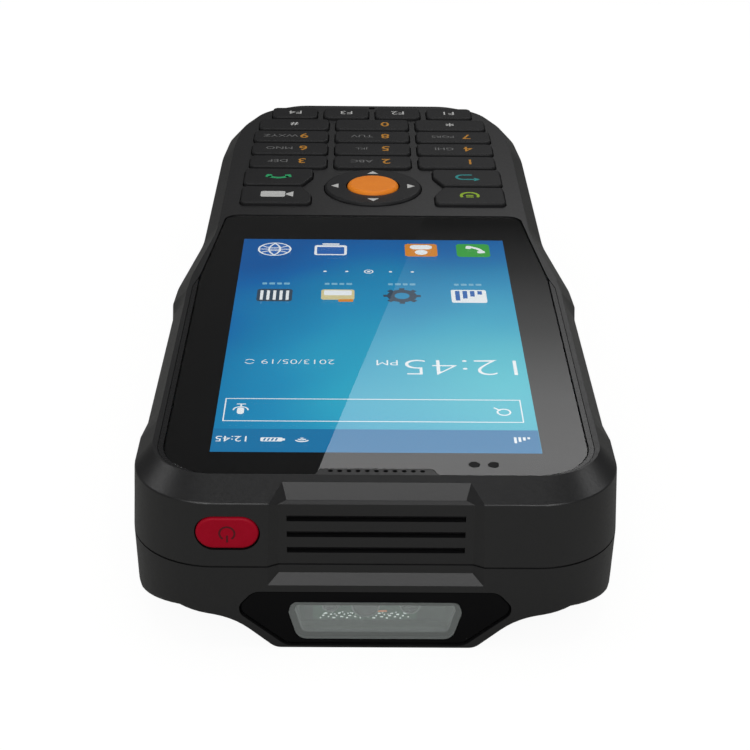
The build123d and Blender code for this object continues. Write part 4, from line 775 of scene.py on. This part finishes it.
# The card's left edge slants. It glows more towards its top, so its reflection fades along the glass.
CARD_GLOW = 1.85
CARD_Y = 0.4
CARD_CORNERS = ((0.0269, 0.1789), (0.16, 0.1789), (0.16, 0.36), (-0.0399, 0.36))  # x and height
card_light = bpy.data.materials.new("card_soft_light")
card_light.use_nodes = True
tree = card_light.node_tree
tree.nodes.clear()
place = add(tree, "TexCoord").outputs["Object"]
height = add(tree, "SeparateXYZ", {"Vector": place})
share = add(tree, "MapRange", {"Value": height.outputs["Z"], "From Min": 0.18, "From Max": 0.31})
GLOW_BY_HEIGHT = {0.03: 0.03, 0.085: 0.055, 0.2: 0.12, 0.44: 0.34, 0.72: 0.73, 0.96: 0.92}
greys = [(position, (glow, glow, glow, 1.0)) for position, glow in GLOW_BY_HEIGHT.items()]
rise = add(tree, "ValToRGB", {"Fac": share.outputs["Result"]}, greys)
light = add(tree, "Emission", {"Color": rise.outputs["Color"], "Strength": CARD_GLOW})
add(tree, "OutputMaterial", {"Surface": light.outputs["Emission"]})
card_mesh = bmesh.new()
card_mesh.faces.new([card_mesh.verts.new((x, CARD_Y, z)) for x, z in CARD_CORNERS])
card_data = bpy.data.meshes.new("card")
card_mesh.to_mesh(card_data)
card_mesh.free()
card_data.materials.append(card_light)
card = bpy.data.objects.new("card", card_data)
bpy.context.scene.collection.objects.link(card)
card.visible_camera = False
card.visible_diffuse = False
card.visible_transmission = False
card.visible_shadow = False

world = bpy.data.worlds.new("studio")
bpy.context.scene.world = world
world.use_nodes = True
tree = world.node_tree
tree.nodes.clear()
seen = add(tree, "LightPath").outputs
air, dark, bright = (
    add(tree, "Background", {"Color": (1, 1, 1, 1), "Strength": strength}).outputs[0]
    for strength in (AIR_LIGHT, AIR_IN_GLOSS, 1.0)
)
glossy = add(tree, "MixShader", {0: seen["Is Glossy Ray"], 1: air, 2: dark}).outputs[0]
clear = add(tree, "MixShader", {0: seen["Is Camera Ray"], 1: glossy, 2: bright}).outputs[0]
add(tree, "OutputWorld", {"Surface": clear})


AIM = Vector((0, 0, 0.015))


def soft_lamp(name, place, width, height, watts):
    """A soft oblong lamp that points at the middle of the object."""
    data = bpy.data.lights.new(name, "AREA")
    data.shape = "RECTANGLE"
    data.size = width
    data.size_y = height
    data.energy = watts
    lamp = bpy.data.objects.new(name, data)
    bpy.context.scene.collection.objects.link(lamp)
    lamp.location = place
    lamp.rotation_euler = (AIM - Vector(place)).to_track_quat("-Z", "Y").to_euler()


soft_lamp("overhead", (0.0, 0.12, 0.92), 0.7, 0.6, 1.8)
soft_lamp("front", (0.0, -0.92, 0.56), 1.3, 0.45, 4.3)
soft_lamp("left_side", (-0.9, 0.0, 0.6), 0.4, 0.4, 0.7)
soft_lamp("right_side", (0.9, 0.0, 0.6), 0.4, 0.4, 0.7)

# Camera: above and in front of the head end, looking down at the display.
EYE = (-0.002835, -0.31034, 0.15935)
pitch = math.radians(26.9926)
yaw = math.radians(0.62257)
roll = math.radians(0.64437)
forward = Vector((math.sin(yaw) * math.cos(pitch), math.cos(yaw) * math.cos(pitch), -math.sin(pitch)))
right = forward.cross(Vector((0, 0, 1))).normalized()
upward = right.cross(forward)
across = math.cos(roll) * right + math.sin(roll) * upward
upright = math.cos(roll) * upward - math.sin(roll) * right
eye = bpy.data.cameras.new("eye")
eye.sensor_width = 36.0
eye.lens = 81.68
camera = bpy.data.objects.new("eye", eye)
bpy.context.scene.collection.objects.link(camera)
turn = Matrix((across, upright, -forward)).transposed()
camera.matrix_world = Matrix.Translation(EYE) @ turn.to_4x4()
bpy.context.scene.camera = camera
bpy.context.scene.view_settings.view_transform = "Standard"

bpy.context.view_layer.update()
